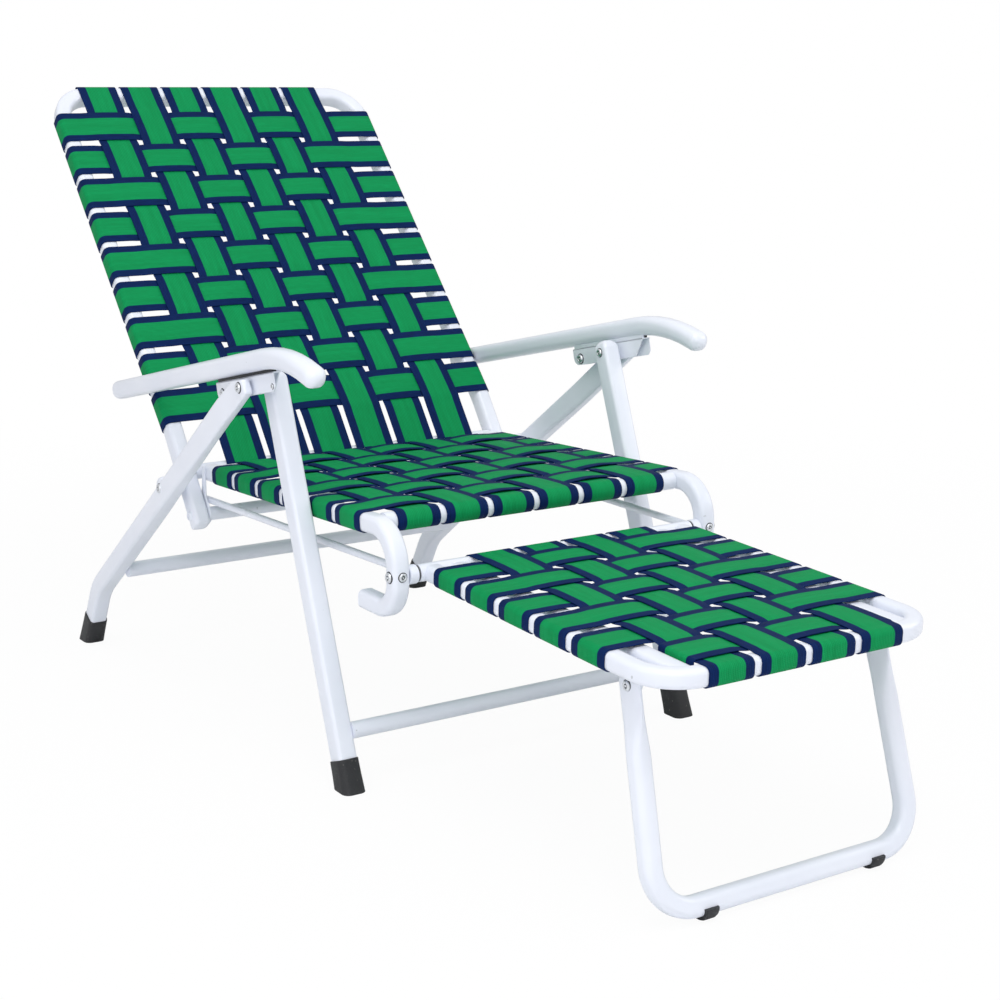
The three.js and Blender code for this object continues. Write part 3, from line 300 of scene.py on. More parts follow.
def mottled(tree, point, blotch, skin, speck, level):
    """The mottle group at this point, with its three scales and the level that leaves a speck."""
    return new_node(tree, "ShaderNodeGroup", {
        "Point": point, "Blotch Scale": blotch, "Skin Scale": skin, "Speck Scale": speck, "Speck Level": level,
    }, node_tree=MOTTLE).outputs


def surface_value(tree, name):
    return new_node(tree, "ShaderNodeAttribute", {}, attribute_name=name).outputs["Fac"]


def mix_colour(tree, share, first, second):
    node = new_node(tree, "ShaderNodeMix", {}, data_type="RGBA")
    sockets = {s.identifier: s for s in node.inputs}
    for value, key in ((share, "Factor_Float"), (first, "A_Color"), (second, "B_Color")):
        if isinstance(value, list):
            sockets[key].default_value = value
        else:
            tree.links.new(value, sockets[key])
    return next(s for s in node.outputs if s.identifier == "Result_Color")


def ranged(tree, value, low, high, to_low, to_high, soft=False):
    inputs = {"Value": value, "From Min": low, "From Max": high, "To Min": to_low, "To Max": to_high}
    kind = "SMOOTHSTEP" if soft else "LINEAR"
    return new_node(tree, "ShaderNodeMapRange", inputs, interpolation_type=kind).outputs["Result"]


def even_range(tree, value, to_low=0.0, to_high=1.0):
    """The middle part of a noise, spread over a range."""
    return ranged(tree, value, 0.3, 0.7, to_low, to_high)


def dress(tree, shader, paint, roughness, height, strength, distance):
    """Gives a shader its colour, its roughness and a bump of this height."""
    inputs = {"Strength": strength, "Distance": distance, "Height": height}
    normal = new_node(tree, "ShaderNodeBump", inputs).outputs["Normal"]
    for value, label in ((paint, "Base Color"), (roughness, "Roughness"), (normal, "Normal")):
        tree.links.new(value, shader.inputs[label])


def powder_coat():
    material, tree, shader = new_finish("white_powder_coat")
    mottle = mottled(tree, object_point(tree), 7.0, 520.0, 120.0, 0.79)
    coat = mix_colour(tree, even_range(tree, mottle["Blotch"]), colour("E9EDF7"), colour("E1E6F2"))
    worn = mix_colour(tree, mottle["Specks"], coat, colour("C2C7D0"))
    shader.inputs["Coat Weight"].default_value = 0.25
    shader.inputs["Coat Roughness"].default_value = 0.12
    dress(tree, shader, worn, even_range(tree, mottle["Blotch"], 0.27, 0.36), mottle["Skin"], 0.05, 0.0004)
    return material


def woven_webbing():
    material, tree, shader = new_finish("green_navy_webbing")
    across, along = surface_value(tree, "run_across"), surface_value(tree, "run_along")
    strap = surface_value(tree, "strap_number")
    yarn = new_node(tree, "ShaderNodeGroup", {"Across": across, "Along": along}, node_tree=YARNS).outputs["Yarn"]
    streak_point = new_node(tree, "ShaderNodeCombineXYZ", {
        axis: times(tree, value, scale)
        for axis, value, scale in (("X", across, 34.0), ("Y", along, 70.0), ("Z", strap, 9.3))
    }).outputs["Vector"]
    mottle = mottled(tree, streak_point, 0.14, 1.0, 3.0, 0.8)
    side = math_node(tree, "ABSOLUTE", across)
    wander = math_node(tree, "ADD", side, times(tree, mottle["Skin"], 0.012))
    band = ranged(tree, wander, 0.585, 0.6, 0.0, 1.0, True)
    fade, streak = even_range(tree, mottle["Blotch"]), even_range(tree, mottle["Skin"])
    green = mix_colour(tree, fade, colour("079051"), colour("0B9A59"))
    green = mix_colour(tree, times(tree, streak, 0.4), green, colour("057A43"))
    navy = mix_colour(tree, streak, colour("03265D"), colour("021B47"))
    dyed = mix_colour(tree, band, green, navy)
    # Painted shade: where the yarn height is low, in the hollows between the yarns, the colour is darkened towards
    # deep green and deep navy.
    hollow_shade = times(tree, ranged(tree, yarn, 0.0, 0.55, 1.0, 0.0), 0.5)
    shaded = mix_colour(tree, hollow_shade, dyed, mix_colour(tree, band, colour("03542C"), colour("010F2B")))
    shader.inputs["Specular IOR Level"].default_value = 0.1
    dress(tree, shader, shaded, ranged(tree, yarn, 0.0, 1.0, 0.78, 0.6), yarn, 0.35, 0.0005)
    return material


def bright_steel():
    material, tree, shader = new_finish("bright_steel")
    mottle = mottled(tree, object_point(tree), 60.0, 900.0, 400.0, 0.72)
    steel = mix_colour(tree, mottle["Blotch"], colour("E3E6EA"), colour("CDD1D7"))
    pitted = mix_colour(tree, mottle["Specks"], steel, colour("6E6A66"))
    # Painted shade: the marked bands of a turned head are darkened to near black, a hollow round its centre and a
    # ring round its rim.
    steel_with_painted_shade = mix_colour(tree, surface_value(tree, "shade_mask"), pitted, colour("35373B"))
    shader.inputs["Metallic"].default_value = 0.9
    dress(tree, shader, steel_with_painted_shade, even_range(tree, mottle["Skin"], 0.24, 0.4), mottle["Skin"], 0.06, 0.0002)
    return material


def black_rubber():
    material, tree, shader = new_finish("black_rubber")
    mottle = mottled(tree, object_point(tree), 30.0, 700.0, 260.0, 0.7)
    rubber = mix_colour(tree, mottle["Blotch"], colour("1C1D20"), colour("2A2B2E"))
    dust = times(tree, mottle["Specks"], 0.4)
    dusty = mix_colour(tree, dust, rubber, colour("77746E"))
    dress(tree, shader, dusty, even_range(tree, mottle["Skin"], 0.5, 0.68), mottle["Skin"], 0.15, 0.0004)
    return material


COAT, WEBBING, STEEL, RUBBER = powder_coat(), woven_webbing(), bright_steel(), black_rubber()


# Making pieces

def soften(mesh, angle=38):
    mesh.shade_smooth()
    mesh.set_sharp_from_angle(angle=math.radians(angle))


def fit(piece, body, finish, *nodes):
    """Hangs a finished piece on its body, in the place of the CAD nodes that it stands for."""
    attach(piece, body)
    if nodes:
        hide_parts(*nodes)


def new_object(name, mesh):
    piece = bpy.data.objects.new(name, mesh)
    bpy.context.scene.collection.objects.link(piece)
    return piece


def add(name, mesh, body, finish, *nodes):
    """Makes a finished mesh a piece of the chair."""
    fit(new_object(name, mesh), body, finish, *nodes)


def grown(name, source, tree, values):
    """Runs a geometry node tree on a source mesh and keeps the result as a plain mesh."""
    holder = new_object(name + "_source", source)
    modifier = holder.modifiers.new("Grow", "NODES")
    modifier.node_group = tree
    keys = {s.name: s.identifier for s in tree.interface.items_tree if s.in_out == "INPUT"}
    for label, value in values.items():
        modifier[keys[label]] = value
    bpy.context.view_layer.update()
    graph = bpy.context.evaluated_depsgraph_get()
    mesh = bpy.data.meshes.new_from_object(holder.evaluated_get(graph))
    mesh.name = name
    bpy.data.objects.remove(holder)
    return mesh


def run_mesh(name, runs):
    """Edges of several runs. A run is (points, width ways, girths, number)."""
    mesh = bpy.data.meshes.new(name)
    points, edges, ways, girths, numbers = [], [], [], [], []
    for run_points, run_ways, run_girths, number in runs:
        first = len(points)
        points += run_points
        edges += [(first + i, first + i + 1) for i in range(len(run_points) - 1)]
        ways += run_ways
        girths += run_girths
        numbers += [number] * len(run_points)
    mesh.from_pydata(points, edges, [])
    for label, kind, key, values in (
        ("width_way", "FLOAT_VECTOR", "vector", [c for w in ways for c in w]),
        ("girth", "FLOAT", "value", girths),
        ("strap_number", "FLOAT", "value", numbers),
    ):
        mesh.attributes.new(label, kind, "POINT").data.foreach_set(key, values)
    return mesh


def bent(corners, radii, step=math.radians(5)):
    """Points of a path with round bends at its inner corners, as a tube bender leaves it."""
    points = [corners[0]]
    for before, corner, after, radius in zip(corners, corners[1:], corners[2:], radii):
        radius /= 1000
        inward = (corner - before).normalized()
        outward = (after - corner).normalized()
        turn = inward.angle(outward)
        reach = radius * math.tan(turn / 2)
        side = (outward - inward * inward.dot(outward)).normalized()
        centre = corner - inward * reach + side * radius
        parts = max(3, math.ceil(turn / step))
        for k in range(parts + 1):
            a = turn * k / parts
            points.append(centre - side * (radius * math.cos(a)) + inward * (radius * math.sin(a)))
    return points + [corners[-1]]


def domed(points, start=0.0, end=0.0, steps=7):
    """Adds round ends of these reaches, in millimetres, and returns points and girths."""
    girths = [1.0] * len(points)
    for reach, at_end in ((start, False), (end, True)):
        if not reach:
            continue
        tip, inner = (points[-1], points[-2]) if at_end else (points[0], points[1])
        out = (tip - inner).normalized() * reach / 1000
        angles = [math.radians(86) * (k + 1) / steps for k in range(steps)]
        cap = [tip + out * math.sin(a) for a in angles]
        sizes = [math.cos(a) for a in angles]
        points = points + cap if at_end else cap[::-1] + points
        girths = girths + sizes if at_end else sizes[::-1] + girths
    return points, girths


def tube(name, points, ways, width, depth, radius, finish, girths=None, steps=6):
    """A tube of this section along the points. Ways point along the section's width, girths swell or narrow it."""
    if isinstance(ways, Vector):
        ways = [ways] * len(points)
    source = run_mesh(name, [(points, ways, girths or [1.0] * len(points), 0.0)])
    mesh = grown(name, source, SWEPT, {
        "Width": width / 1000, "Depth": depth / 1000, "Corner Radius": radius / 1000,
        "Corner Steps": steps, "Finish": finish,
    })
    soften(mesh)
    return mesh


def add_bar(name, end, point, radius, body, node):
    """A round coated bar straight across the chair, from -end to end."""
    points = [side_point(-end, point), side_point(end, point)]
    upward = Vector((0, 0, 1))
    mesh = tube(name, points, upward, 2 * radius, 2 * radius, radius * 0.99, COAT, steps=9)
    add(name, mesh, body, COAT, node)


def side_tube(name, x, corners, radii, width, depth, radius, finish, start=0.0, end=0.0):
    points = bent([side_point(x, p) for p in corners], radii)
    points, girths = domed(points, start, end)
    return tube(name, points, ACROSS_CHAIR, width, depth, radius, finish, girths)


def joined(name, *meshes):
    """One mesh from several, with their attributes and finishes kept."""
    parts = [new_object(f"{name}_{i}", m) for i, m in enumerate(meshes)]
    with bpy.context.temp_override(active_object=parts[0], selected_editable_objects=parts):
        bpy.ops.object.join()
    parts[0].name = name
    return parts[0]


def turned_mesh(name, profile, finish, sides=28, shaded_radii=()):
    """A body of revolution about Z from (radius, height) pairs, with the bands of radii that get painted shade
    marked.
    """
    mesh = bpy.data.meshes.new(name)
    form = bmesh.new()
    rings = []
    for r, h in profile:
        if r == 0:
            rings.append([form.verts.new((0, 0, h))])
            continue
        turn = [2 * math.pi * k / sides for k in range(sides)]
        rings.append([form.verts.new((r * math.cos(a), r * math.sin(a), h)) for a in turn])
    for low, high in zip(rings, rings[1:]):
        for k in range(sides):
            lower = [low[k % len(low)], low[(k + 1) % len(low)]]
            upper = [high[(k + 1) % len(high)], high[k % len(high)]]
            form.faces.new(list(dict.fromkeys(lower + upper)))
    bmesh.ops.recalc_face_normals(form, faces=form.faces)
    form.to_mesh(mesh)
    form.free()
    if shaded_radii:
        # The marked bands get painted shade in the steel finish.
        radii = [math.hypot(v.co.x, v.co.y) for v in mesh.vertices]
        values = [float(any(low < r < high for low, high in shaded_radii)) for r in radii]
        mesh.attributes.new("shade_mask", "FLOAT", "POINT").data.foreach_set("value", values)
    mesh.materials.append(finish)
    return mesh


def across_turned(name, pairs, point, finish, sides=28):
    """A turned piece along X from (x, radius) pairs, in the chair's millimetres."""
    mesh = turned_mesh(name, [(r / 1000, x / 1000) for x, r in pairs], finish, sides)
    for vertex in mesh.vertices:
        x, y, z = vertex.co
        vertex.co = Vector((z, y, -x)) + side_point(0, point)
    soften(mesh)
    return mesh


def disc(name, sign, x, half, point, finish, sides=28):
    """A turned piece along X, alike on both sides of x. Its half is (distance, radius) pairs from outside in."""
    profile = [(x - d, r) for d, r in half] + [(x + d, r) for d, r in reversed(half)]
    return across_turned(name, [(sign * place, r) for place, r in profile], point, finish, sides)


def arc(centre, radius, first, last, steps=12):
    """Side-view points round a centre, between two angles in degrees."""
    turns = [math.radians(first + (last - first) * k / steps) for k in range(steps + 1)]
    return [(centre[0] + radius * math.cos(a), centre[1] + radius * math.sin(a)) for a in turns]


def plate(name, outline, sign, x0, x1, finish, edge=0.5):
    """A sheet cut to a side-view outline between two places on one side of the chair, with its edges broken."""
    mesh = bpy.data.meshes.new(name)
    form = bmesh.new()
    face = form.faces.new([form.verts.new(side_point(sign * x0, p)) for p in outline])
    pulled = bmesh.ops.extrude_face_region(form, geom=[face])["geom"]
    moved = [g for g in pulled if isinstance(g, bmesh.types.BMVert)]
    bmesh.ops.translate(form, vec=(sign * (x1 - x0) / 1000, 0, 0), verts=moved)
    rims = [e for e in form.edges if abs(e.verts[0].co.x - e.verts[1].co.x) < 1e-7]
    bmesh.ops.bevel(form, geom=rims, offset=edge / 1000, segments=2, profile=0.5, affect="EDGES")
    bmesh.ops.recalc_face_normals(form, faces=form.faces)
    form.to_mesh(mesh)
    form.free()
    mesh.materials.append(finish)
    soften(mesh, 30)
    return mesh


def flat_cut(mesh, point, outward):
    """Cuts a closed mesh on a plane, drops what lies outward of it and closes the cut."""
    form = bmesh.new()
    form.from_mesh(mesh)
    whole = form.verts[:] + form.edges[:] + form.faces[:]
    result = bmesh.ops.bisect_plane(form, geom=whole, plane_co=point, plane_no=outward, clear_outer=True)
    edges = [e for e in result["geom_cut"] if isinstance(e, bmesh.types.BMEdge)]
    bmesh.ops.contextual_create(form, geom=edges)
    form.to_mesh(mesh)
    form.free()


# Frame tubes of the seat

rail_corners = [RAIL_END, (HOOK_Y, rail_z(HOOK_Y)), (HOOK_Y, HOOK_LOW_Z), (HOOK_END_Y, HOOK_LOW_Z)]
for side, sign in SIDES:
    name = f"rail_with_hook_{side}"
    mesh = side_tube(name, sign * SEAT_X, rail_corners, RAIL_BENDS, RAIL_TUBE, RAIL_TUBE, RAIL_CORNER, COAT)
    add(name, mesh, "seat", COAT, f"seat_rail_{side}")
    name = f"hook_end_plug_{side}"
    plug_ends = [side_point(sign * SEAT_X, (HOOK_END_Y + reach, HOOK_LOW_Z)) for reach in PLUG_REACH]
    plug_points, plug_girths = domed(plug_ends, end=PLUG_DOME)
    mesh = tube(name, plug_points, ACROSS_CHAIR, PLUG, PLUG, PLUG_CORNER, RUBBER, plug_girths)
    add(name, mesh, "seat", RUBBER, f"hook_plug_{side}")
    rod_front = side_point(sign * ROD_X, step_along(HINGE, (0, 1), ROD_ABOVE_HINGE))
    rod_points = [rod_front, side_point(sign * ROD_REAR[0], ROD_REAR[1:])]
    rod = tube("rod", rod_points, ACROSS_CHAIR, ROD, ROD, ROD / 2 - 0.05, COAT)
    sleeve = disc("sleeve", sign, SLEEVE_X, SLEEVE, HINGE, COAT)
    name = f"hinge_washer_{side}"
    add(name, disc(name, sign, WASHER_X, WASHER, HINGE, RUBBER), "seat", RUBBER)
    fit(joined(f"brace_with_sleeve_{side}", rod, sleeve), "seat", COAT, f"brace_rod_{side}")
    name = f"hanger_plate_{side}"
    front_y, rear_y, belly_y = HANGER_Y
    rail_low = rail_z(HANGER_RAIL_Y) - HANGER_RAIL_REACH[0]
    rail_top = rail_z(HANGER_RAIL_Y) + HANGER_RAIL_REACH[1]
    outline = [(front_y, rail_top), (rear_y, rail_top), (rear_y, rail_low), (belly_y, HANGER_WAIST_Z[1])]
    outline += arc(AXLE, HANGER_R, 20, -200) + [(front_y, HANGER_WAIST_Z[0])]
    mesh = plate(name, outline, sign, *HANGER_X, COAT)
    add(name, mesh, "seat", COAT, f"axle_hanger_{side}")
for label, y in zip(("front", "rear"), SEAT_BARS_Y):
    add_bar(f"seat_bar_{label}", SEAT_BAR_END, (y, rail_z(y)), SEAT_BAR_R, "seat", f"seat_{label}_bar")
add_bar("axle_bar", BACK_BAR_END, AXLE, AXLE_R, "seat", "axle")

# Back hoop

low_way = (math.sin(BACK_LOW), math.cos(BACK_LOW))
high_way = (math.sin(BACK_HIGH), math.cos(BACK_HIGH))
back_bend = step_along(AXLE, low_way, BACK_BEND_AT)
back_top = step_along(back_bend, high_way, BACK_TOP_AT)
back_end = step_along(AXLE, low_way, -BACK_BELOW_AXLE)
hoop_corners = [side_point(-BACK_X, p) for p in (back_end, back_bend, back_top)]
hoop_corners += [side_point(BACK_X, p) for p in (back_top, back_bend, back_end)]
hoop_points = bent(hoop_corners, BACK_BENDS)
hoop_normal = Vector((0, -high_way[1], high_way[0]))


def hoop_ways(points):
    """The hoop's front-to-back way at each point, which follows the low bends of its sides."""
    ways = []
    for i in range(len(points)):
        run = points[min(i + 1, len(points) - 1)] - points[max(i - 1, 0)]
        upward = Vector((0, run.y, run.z)) * (1 if run.z >= 0 else -1)
        flat = upward.length < 0.02 * run.length
        ways.append(hoop_normal if flat else ACROSS_CHAIR.cross(upward).normalized())
    return ways


hoop_points, hoop_girths = domed(hoop_points, BACK_DOME, BACK_DOME, 4)
mesh = tube("back_hoop", hoop_points, hoop_ways(hoop_points), *BACK_TUBE, BACK_CORNER, COAT, hoop_girths)
add("back_hoop", mesh, "back", COAT, "back_frame")
foot_bar = step_along(AXLE, low_way, FOOT_BAR_UP)
add_bar("back_foot_bar", BACK_BAR_END, foot_bar, FOOT_BAR_R, "back", "back_lower_bar")

# Legs, armrests and crossbars


def front_at(z):
    return (FRONT_FOOT_Y + FRONT_LEAN * z, z)


arm_way, _ = way_between(ARM_REAR, ARM_PEAK)


def under_arm(y, depth):
    """Side-view point at this depth below the armrest's line."""
    on_line = step_along(ARM_REAR, arm_way, (y - ARM_REAR[0]) / arm_way[0])
    return step_along(on_line, (-arm_way[1], arm_way[0]), depth)


def under_arm_strip(front_y, rear_y, top, low):
    """Outline of a strip between two depths below the armrest's line."""
    return [under_arm(front_y, top), under_arm(front_y, low), under_arm(rear_y, low), under_arm(rear_y, top)]


def closer(points, step):
    """The same path with stations at least this close, in millimetres."""
    close = [points[0]]
    for a, b in zip(points, points[1:]):
        parts = max(1, math.ceil((b - a).length * 1000 / step))
        close += [a.lerp(b, (k + 1) / parts) for k in range(parts)]
    return close


def press_rear_top(mesh, sign):
    """Presses a rear leg's upper part in from the inside to pass its bracket, and cuts it below the armrest."""
    run, top = Vector((0, rear_way[0], rear_way[1])), side_point(0, REAR_TOP)
    spread = Vector((0, -rear_way[1], rear_way[0]))
    full, inner = LEG_SIZE[0], REAR_X - LEG_SIZE[0] / 2
    for vertex in mesh.vertices:
        offset = vertex.co - top
        below = offset.dot(run) * 1000
        pressed = min(max((PRESS_START - below) / PRESS_RUN, 0), 1)
        drawn_in = smooth((FACE_START - below) / FACE_RUN)
        vertex.co += spread * (min(offset.dot(spread), 0) * PRESS_SPREAD * pressed)
        share = (abs(vertex.co.x) * 1000 - inner) / full
        low = inner + (REAR_INNER_X - inner) * pressed
        high = inner + full + (REAR_FACE_X - inner - full) * drawn_in
        vertex.co.x = sign * (low + share * (high - low)) / 1000
    cut = side_point(0, under_arm(REAR_CUT_Y, REAR_CUT_DEPTH))
    flat_cut(mesh, cut, Vector((0, arm_way[1], -arm_way[0])))
    soften(mesh)


def press_leg_ends(mesh):
    """Presses the footrest leg's upper ends to tongues round their rivets."""
    run, pin = Vector((0, leg_way[0], leg_way[1])), side_point(0, LEG_PIVOT)
    for vertex in mesh.vertices:
        offset = vertex.co - pin
        below = -offset.dot(run) * 1000
        flat = smooth((TONGUE_START - below) / TONGUE_RUN)
        middle = LEG_TOP_X + (LEG_X - LEG_TOP_X) * min(max(below / leg_run, 0), 1)
        thick = (abs(vertex.co.x) * 1000 - middle) * (1 + flat * (LEG_TONGUE / STAND_TUBE - 1))
        wider = offset.dot(leg_normal) * (LEG_TONGUE_WIDTH / STAND_TUBE - 1)
        vertex.co += leg_normal * ((wider - LEG_TONGUE_BACK / 1000) * flat)
        vertex.co.x = math.copysign(thick + middle, vertex.co.x) / 1000


rear_way, _ = way_between(REAR_TOP, REAR_BEND)
rear_foot_way, _ = way_between((REAR_FOOT_Y, 0), REAR_BEND)
rear_start = step_along(REAR_TOP, rear_way, -REAR_ABOVE_TOP)
rear_end = step_along((REAR_FOOT_Y, 0), rear_foot_way, REAR_END_Z / rear_foot_way[1])
front_leg_ends = [front_at(z) for z in FRONT_LEG_Z]
for side, sign in SIDES:
    name = f"front_leg_tube_{side}"
    mesh = side_tube(name, sign * BACK_X, front_leg_ends, (), *LEG_SIZE, LEG_CORNER, COAT, end=FRONT_LEG_DOME)
    add(name, mesh, "front_legs", COAT, f"front_leg_{side}")
    rear_corners = [side_point(sign * REAR_X, p) for p in (rear_start, REAR_BEND, rear_end)]
    rear_points, rear_girths = domed(closer(bent(rear_corners, (REAR_BEND_R,)), 10), start=REAR_DOME)
    leg = tube("leg", rear_points, ACROSS_CHAIR, *LEG_SIZE, LEG_CORNER, COAT, rear_girths)
    press_rear_top(leg, sign)
    ear = disc("ear", sign, REAR_X, EAR_DISC, EAR, COAT, 40)
    near, far = COLLAR_X
    collar_profile = [(near, 0), (near, COLLAR_R - COLLAR_CHAMFER), (near + COLLAR_CHAMFER, COLLAR_R)]
    collar_profile += [(far, COLLAR_R), (far, 0)]
    collar = across_turned("collar", [(sign * x, r) for x, r in collar_profile], EAR, COAT)
    fit(joined(f"rear_leg_with_ear_{side}", leg, ear, collar), "rear_legs", COAT, f"rear_leg_{side}")
    name = f"arm_{side}"
    arm, arm_corners = f"armrest_{side}", (ARM_REAR, ARM_PEAK, ARM_TIP)
    mesh = side_tube(name, sign * ARM_X, arm_corners, (ARM_BEND,), *ARM_TUBE, ARM_CORNER, COAT, ARM_DOME, ARM_DOME)
    add(name, mesh, arm, COAT, arm)
    front_y, rear_y = BRACKET_Y
    top, low = BRACKET_DEPTH
    inside, outside = BRACKET_X
    rear_edge = [under_arm(rear_y - BRACKET_FLAT_END, low)]
    rear_edge += arc(under_arm(rear_y - BRACKET_ROUND, low - BRACKET_ROUND), BRACKET_ROUND, -90, -12, 8)
    rear_edge.append(under_arm(rear_y, top))
    outer_walls = [under_arm(front_y, top), under_arm(front_y, low - BRACKET_CHAMFER),
                   under_arm(front_y + BRACKET_CHAMFER, low)] + rear_edge
    outer = plate("outer", outer_walls, sign, outside - SHEET, outside, COAT)
    notch = [under_arm(front_y + reach, depth) for reach, depth in zip(NOTCH, (top, low - 1, low))]
    inner = plate("inner", notch + rear_edge, sign, inside, inside + SHEET, COAT)
    web = plate("web", under_arm_strip(front_y, rear_y, top, top + SHEET), sign, inside, outside, COAT)
    strip = under_arm_strip(front_y + LEDGE_INSET[0], rear_y - LEDGE_INSET[1], ARM_UNDERSIDE, top)
    ledge = plate("ledge", strip, sign, inside, inside + LEDGE_WIDTH, COAT)
    fit(joined(f"channel_bracket_{side}", outer, inner, web, ledge), arm, COAT, f"leg_bracket_{side}")
    # Painted shade: a black strip set back in the gap under the armrest stands in for the shade in that gap.
    name = f"bracket_gasket_{side}"
    mesh = plate(name, strip, sign, inside + LEDGE_WIDTH, outside - SHADE_STRIP_INSET, RUBBER)
    add(name, mesh, arm, RUBBER)
add_bar("front_stretcher", BACK_BAR_END, FRONT_CROSSBAR, FRONT_BAR_R, "front_legs", "front_crossbar")
add_bar("rear_stretcher", REAR_BAR_END, REAR_CROSSBAR, REAR_BAR_R, "rear_legs", "rear_crossbar")

# Footrest hoop, hinge bar and folding leg

foot_way, foot_run = way_between(FOOTREST_FRONT, HINGE)
foot_normal = Vector((0, -foot_way[1], foot_way[0]))
hinge_side = step_along(HINGE, foot_way, -FOOTREST_PAST_HINGE)
frame_corners = [side_point(-FOOTREST_X, hinge_side), side_point(-FOOTREST_X, FOOTREST_FRONT),
                 side_point(FOOTREST_X, FOOTREST_FRONT), side_point(FOOTREST_X, hinge_side)]
points = bent(frame_corners, (FOOTREST_BEND, FOOTREST_BEND))
mesh = tube("footrest_hoop", points, foot_normal, FOOTREST_TUBE, FOOTREST_TUBE, FOOTREST_CORNER, COAT)
add("footrest_hoop", mesh, "footrest", COAT, "footrest_frame")
rail_ends = [step_along(FOOTREST_FRONT, foot_way, s) for s in (INNER_RAIL_INSET, foot_run - INNER_RAIL_INSET)]
for side, sign in SIDES:
    name = f"footrest_inner_rail_{side}"
    points = [side_point(sign * INNER_RAIL_X, p) for p in rail_ends]
    mesh = tube(name, points, ACROSS_CHAIR, *INNER_RAIL, INNER_RAIL_CORNER, COAT)
    add(name, mesh, "footrest", COAT)
add_bar("footrest_hinge_bar", HINGE_BAR_END, HINGE, HINGE_BAR_R, "footrest", "footrest_rear_bar")
leg_way, leg_run = way_between(LEG_BAR, LEG_PIVOT)
leg_normal = Vector((0, -leg_way[1], leg_way[0]))
leg_corners = [side_point(-LEG_TOP_X, LEG_PIVOT), side_point(-LEG_X, LEG_BAR),
               side_point(LEG_X, LEG_BAR), side_point(LEG_TOP_X, LEG_PIVOT)]
points = closer(bent(leg_corners, (STAND_BEND, STAND_BEND)), 6)
points, girths = domed(points, STAND_DOME, STAND_DOME)
mesh = tube("footrest_stand", points, leg_normal, STAND_TUBE, STAND_TUBE, STAND_CORNER, COAT, girths, 8)
press_leg_ends(mesh)
add("footrest_stand", mesh, "footrest_leg", COAT, "footrest_leg")
pin_y = LEG_PIVOT[0]
rail_at = step_along(HINGE, foot_way, (pin_y - HINGE[0]) / foot_way[0])[1]
lug_outline = [(pin_y + LUG_HALF, rail_at + 1), (pin_y - LUG_HALF, rail_at + 1)] + arc(LEG_PIVOT, LUG_R, 180, 360)
shelf_low, shelf_top = rail_at + SHELF_Z[0], rail_at + SHELF_Z[1]
shelf_outline = [(pin_y + SHELF_HALF, shelf_low), (pin_y + SHELF_HALF, shelf_top),
                 (pin_y - SHELF_HALF, shelf_top), (pin_y - SHELF_HALF, shelf_low)]
lug_x = LEG_TOP_X - LEG_TONGUE / 2 - LUG_GAP
for side, sign in SIDES:
    lug = plate("lug", lug_outline, sign, lug_x - LUG_SHEET, lug_x, COAT)
    shelf = plate("shelf", shelf_outline, sign, lug_x - 1, FOOTREST_X - FOOTREST_TUBE / 2 + 0.5, COAT)
    fit(joined(f"stand_lug_{side}", lug, shelf), "footrest", COAT, f"leg_lug_{side}")

# Rubber feet and pads


def rubber_foot(name, x, floor_point, way, height):
    """A cap on a slanted leg: a little wider at the floor, with a rolled upper lip."""
    rise = height / way[1]
    stations = [(-25, 1.1), (0, 1.06), (3, 1.05), (rise * 0.5, 1.015), (rise - 4, 1.0), (rise - 1.2, 1.0),
                (rise - 0.3, 0.985), (rise, 0.95), (rise, 0.82)]
    points = [side_point(x, step_along(floor_point, way, s)) for s, _ in stations]
    mesh = tube(name, points, ACROSS_CHAIR, *FOOT_SIZE, FOOT_CORNER, RUBBER, [g for _, g in stations])
    flat_cut(mesh, Vector((0, 0, 0)), Vector((0, 0, -1)))
    soften(mesh)
    return mesh


front_way, _ = way_between(front_at(0), front_at(100))
for side, sign in SIDES:
    name = f"front_cap_{side}"
    mesh = rubber_foot(name, sign * BACK_X, front_at(0), front_way, FRONT_FOOT_HEIGHT)
    add(name, mesh, "front_legs", RUBBER, f"front_foot_{side}")
    name = f"rear_cap_{side}"
    mesh = rubber_foot(name, sign * REAR_X, (REAR_FOOT_Y, 0), rear_foot_way, REAR_FOOT_HEIGHT)
    add(name, mesh, "rear_legs", RUBBER, f"rear_foot_{side}")
    name = f"stand_pad_{side}"
    mesh = disc(name, sign, PAD_X, PAD_DISC, LEG_BAR, RUBBER, 40)
    flat_cut(mesh, Vector((0, 0, 0)), Vector((0, 0, -1)))
    flat_cut(mesh, Vector((0, 0, LEG_BAR[1] / 1000)), Vector((0, 0, 1)))
    soften(mesh)
    add(name, mesh, "footrest_leg", RUBBER, f"leg_pad_{side}")

# Webbing


def weave_level(q, crossings, hump):
    """Height of a strap above the frame's plane at q. Crossings are (centre, half width, over)."""
    lifts = [STRAP_LIFT if over else -STRAP_LIFT for _, _, over in crossings]
    start = crossings[0][0] - crossings[0][1] + WEAVE_INSET
    stop = crossings[-1][0] + crossings[-1][1] - WEAVE_INSET
    if q < start:
        level = lifts[0] * smooth((q - start) / WEAVE_BLEND + 1)
    elif q > stop:
        level = lifts[-1] * smooth((stop - q) / WEAVE_BLEND + 1)
    else:
        level = lifts[0]
        for (c0, h0, o0), (c1, h1, o1), lift in zip(crossings, crossings[1:], lifts[1:]):
            if o0 != o1:
                middle = (c0 + h0 + c1 - h1) / 2
                level += smooth((q - middle) / WEAVE_BLEND + 0.5) * 2 * lift
    for centre, half, over in crossings:
        d = abs(q - centre) / (half + HUMP_SPILL)
        if over and d < 1:
            level += hump * math.cos(math.pi / 2 * d) ** 2
    return level


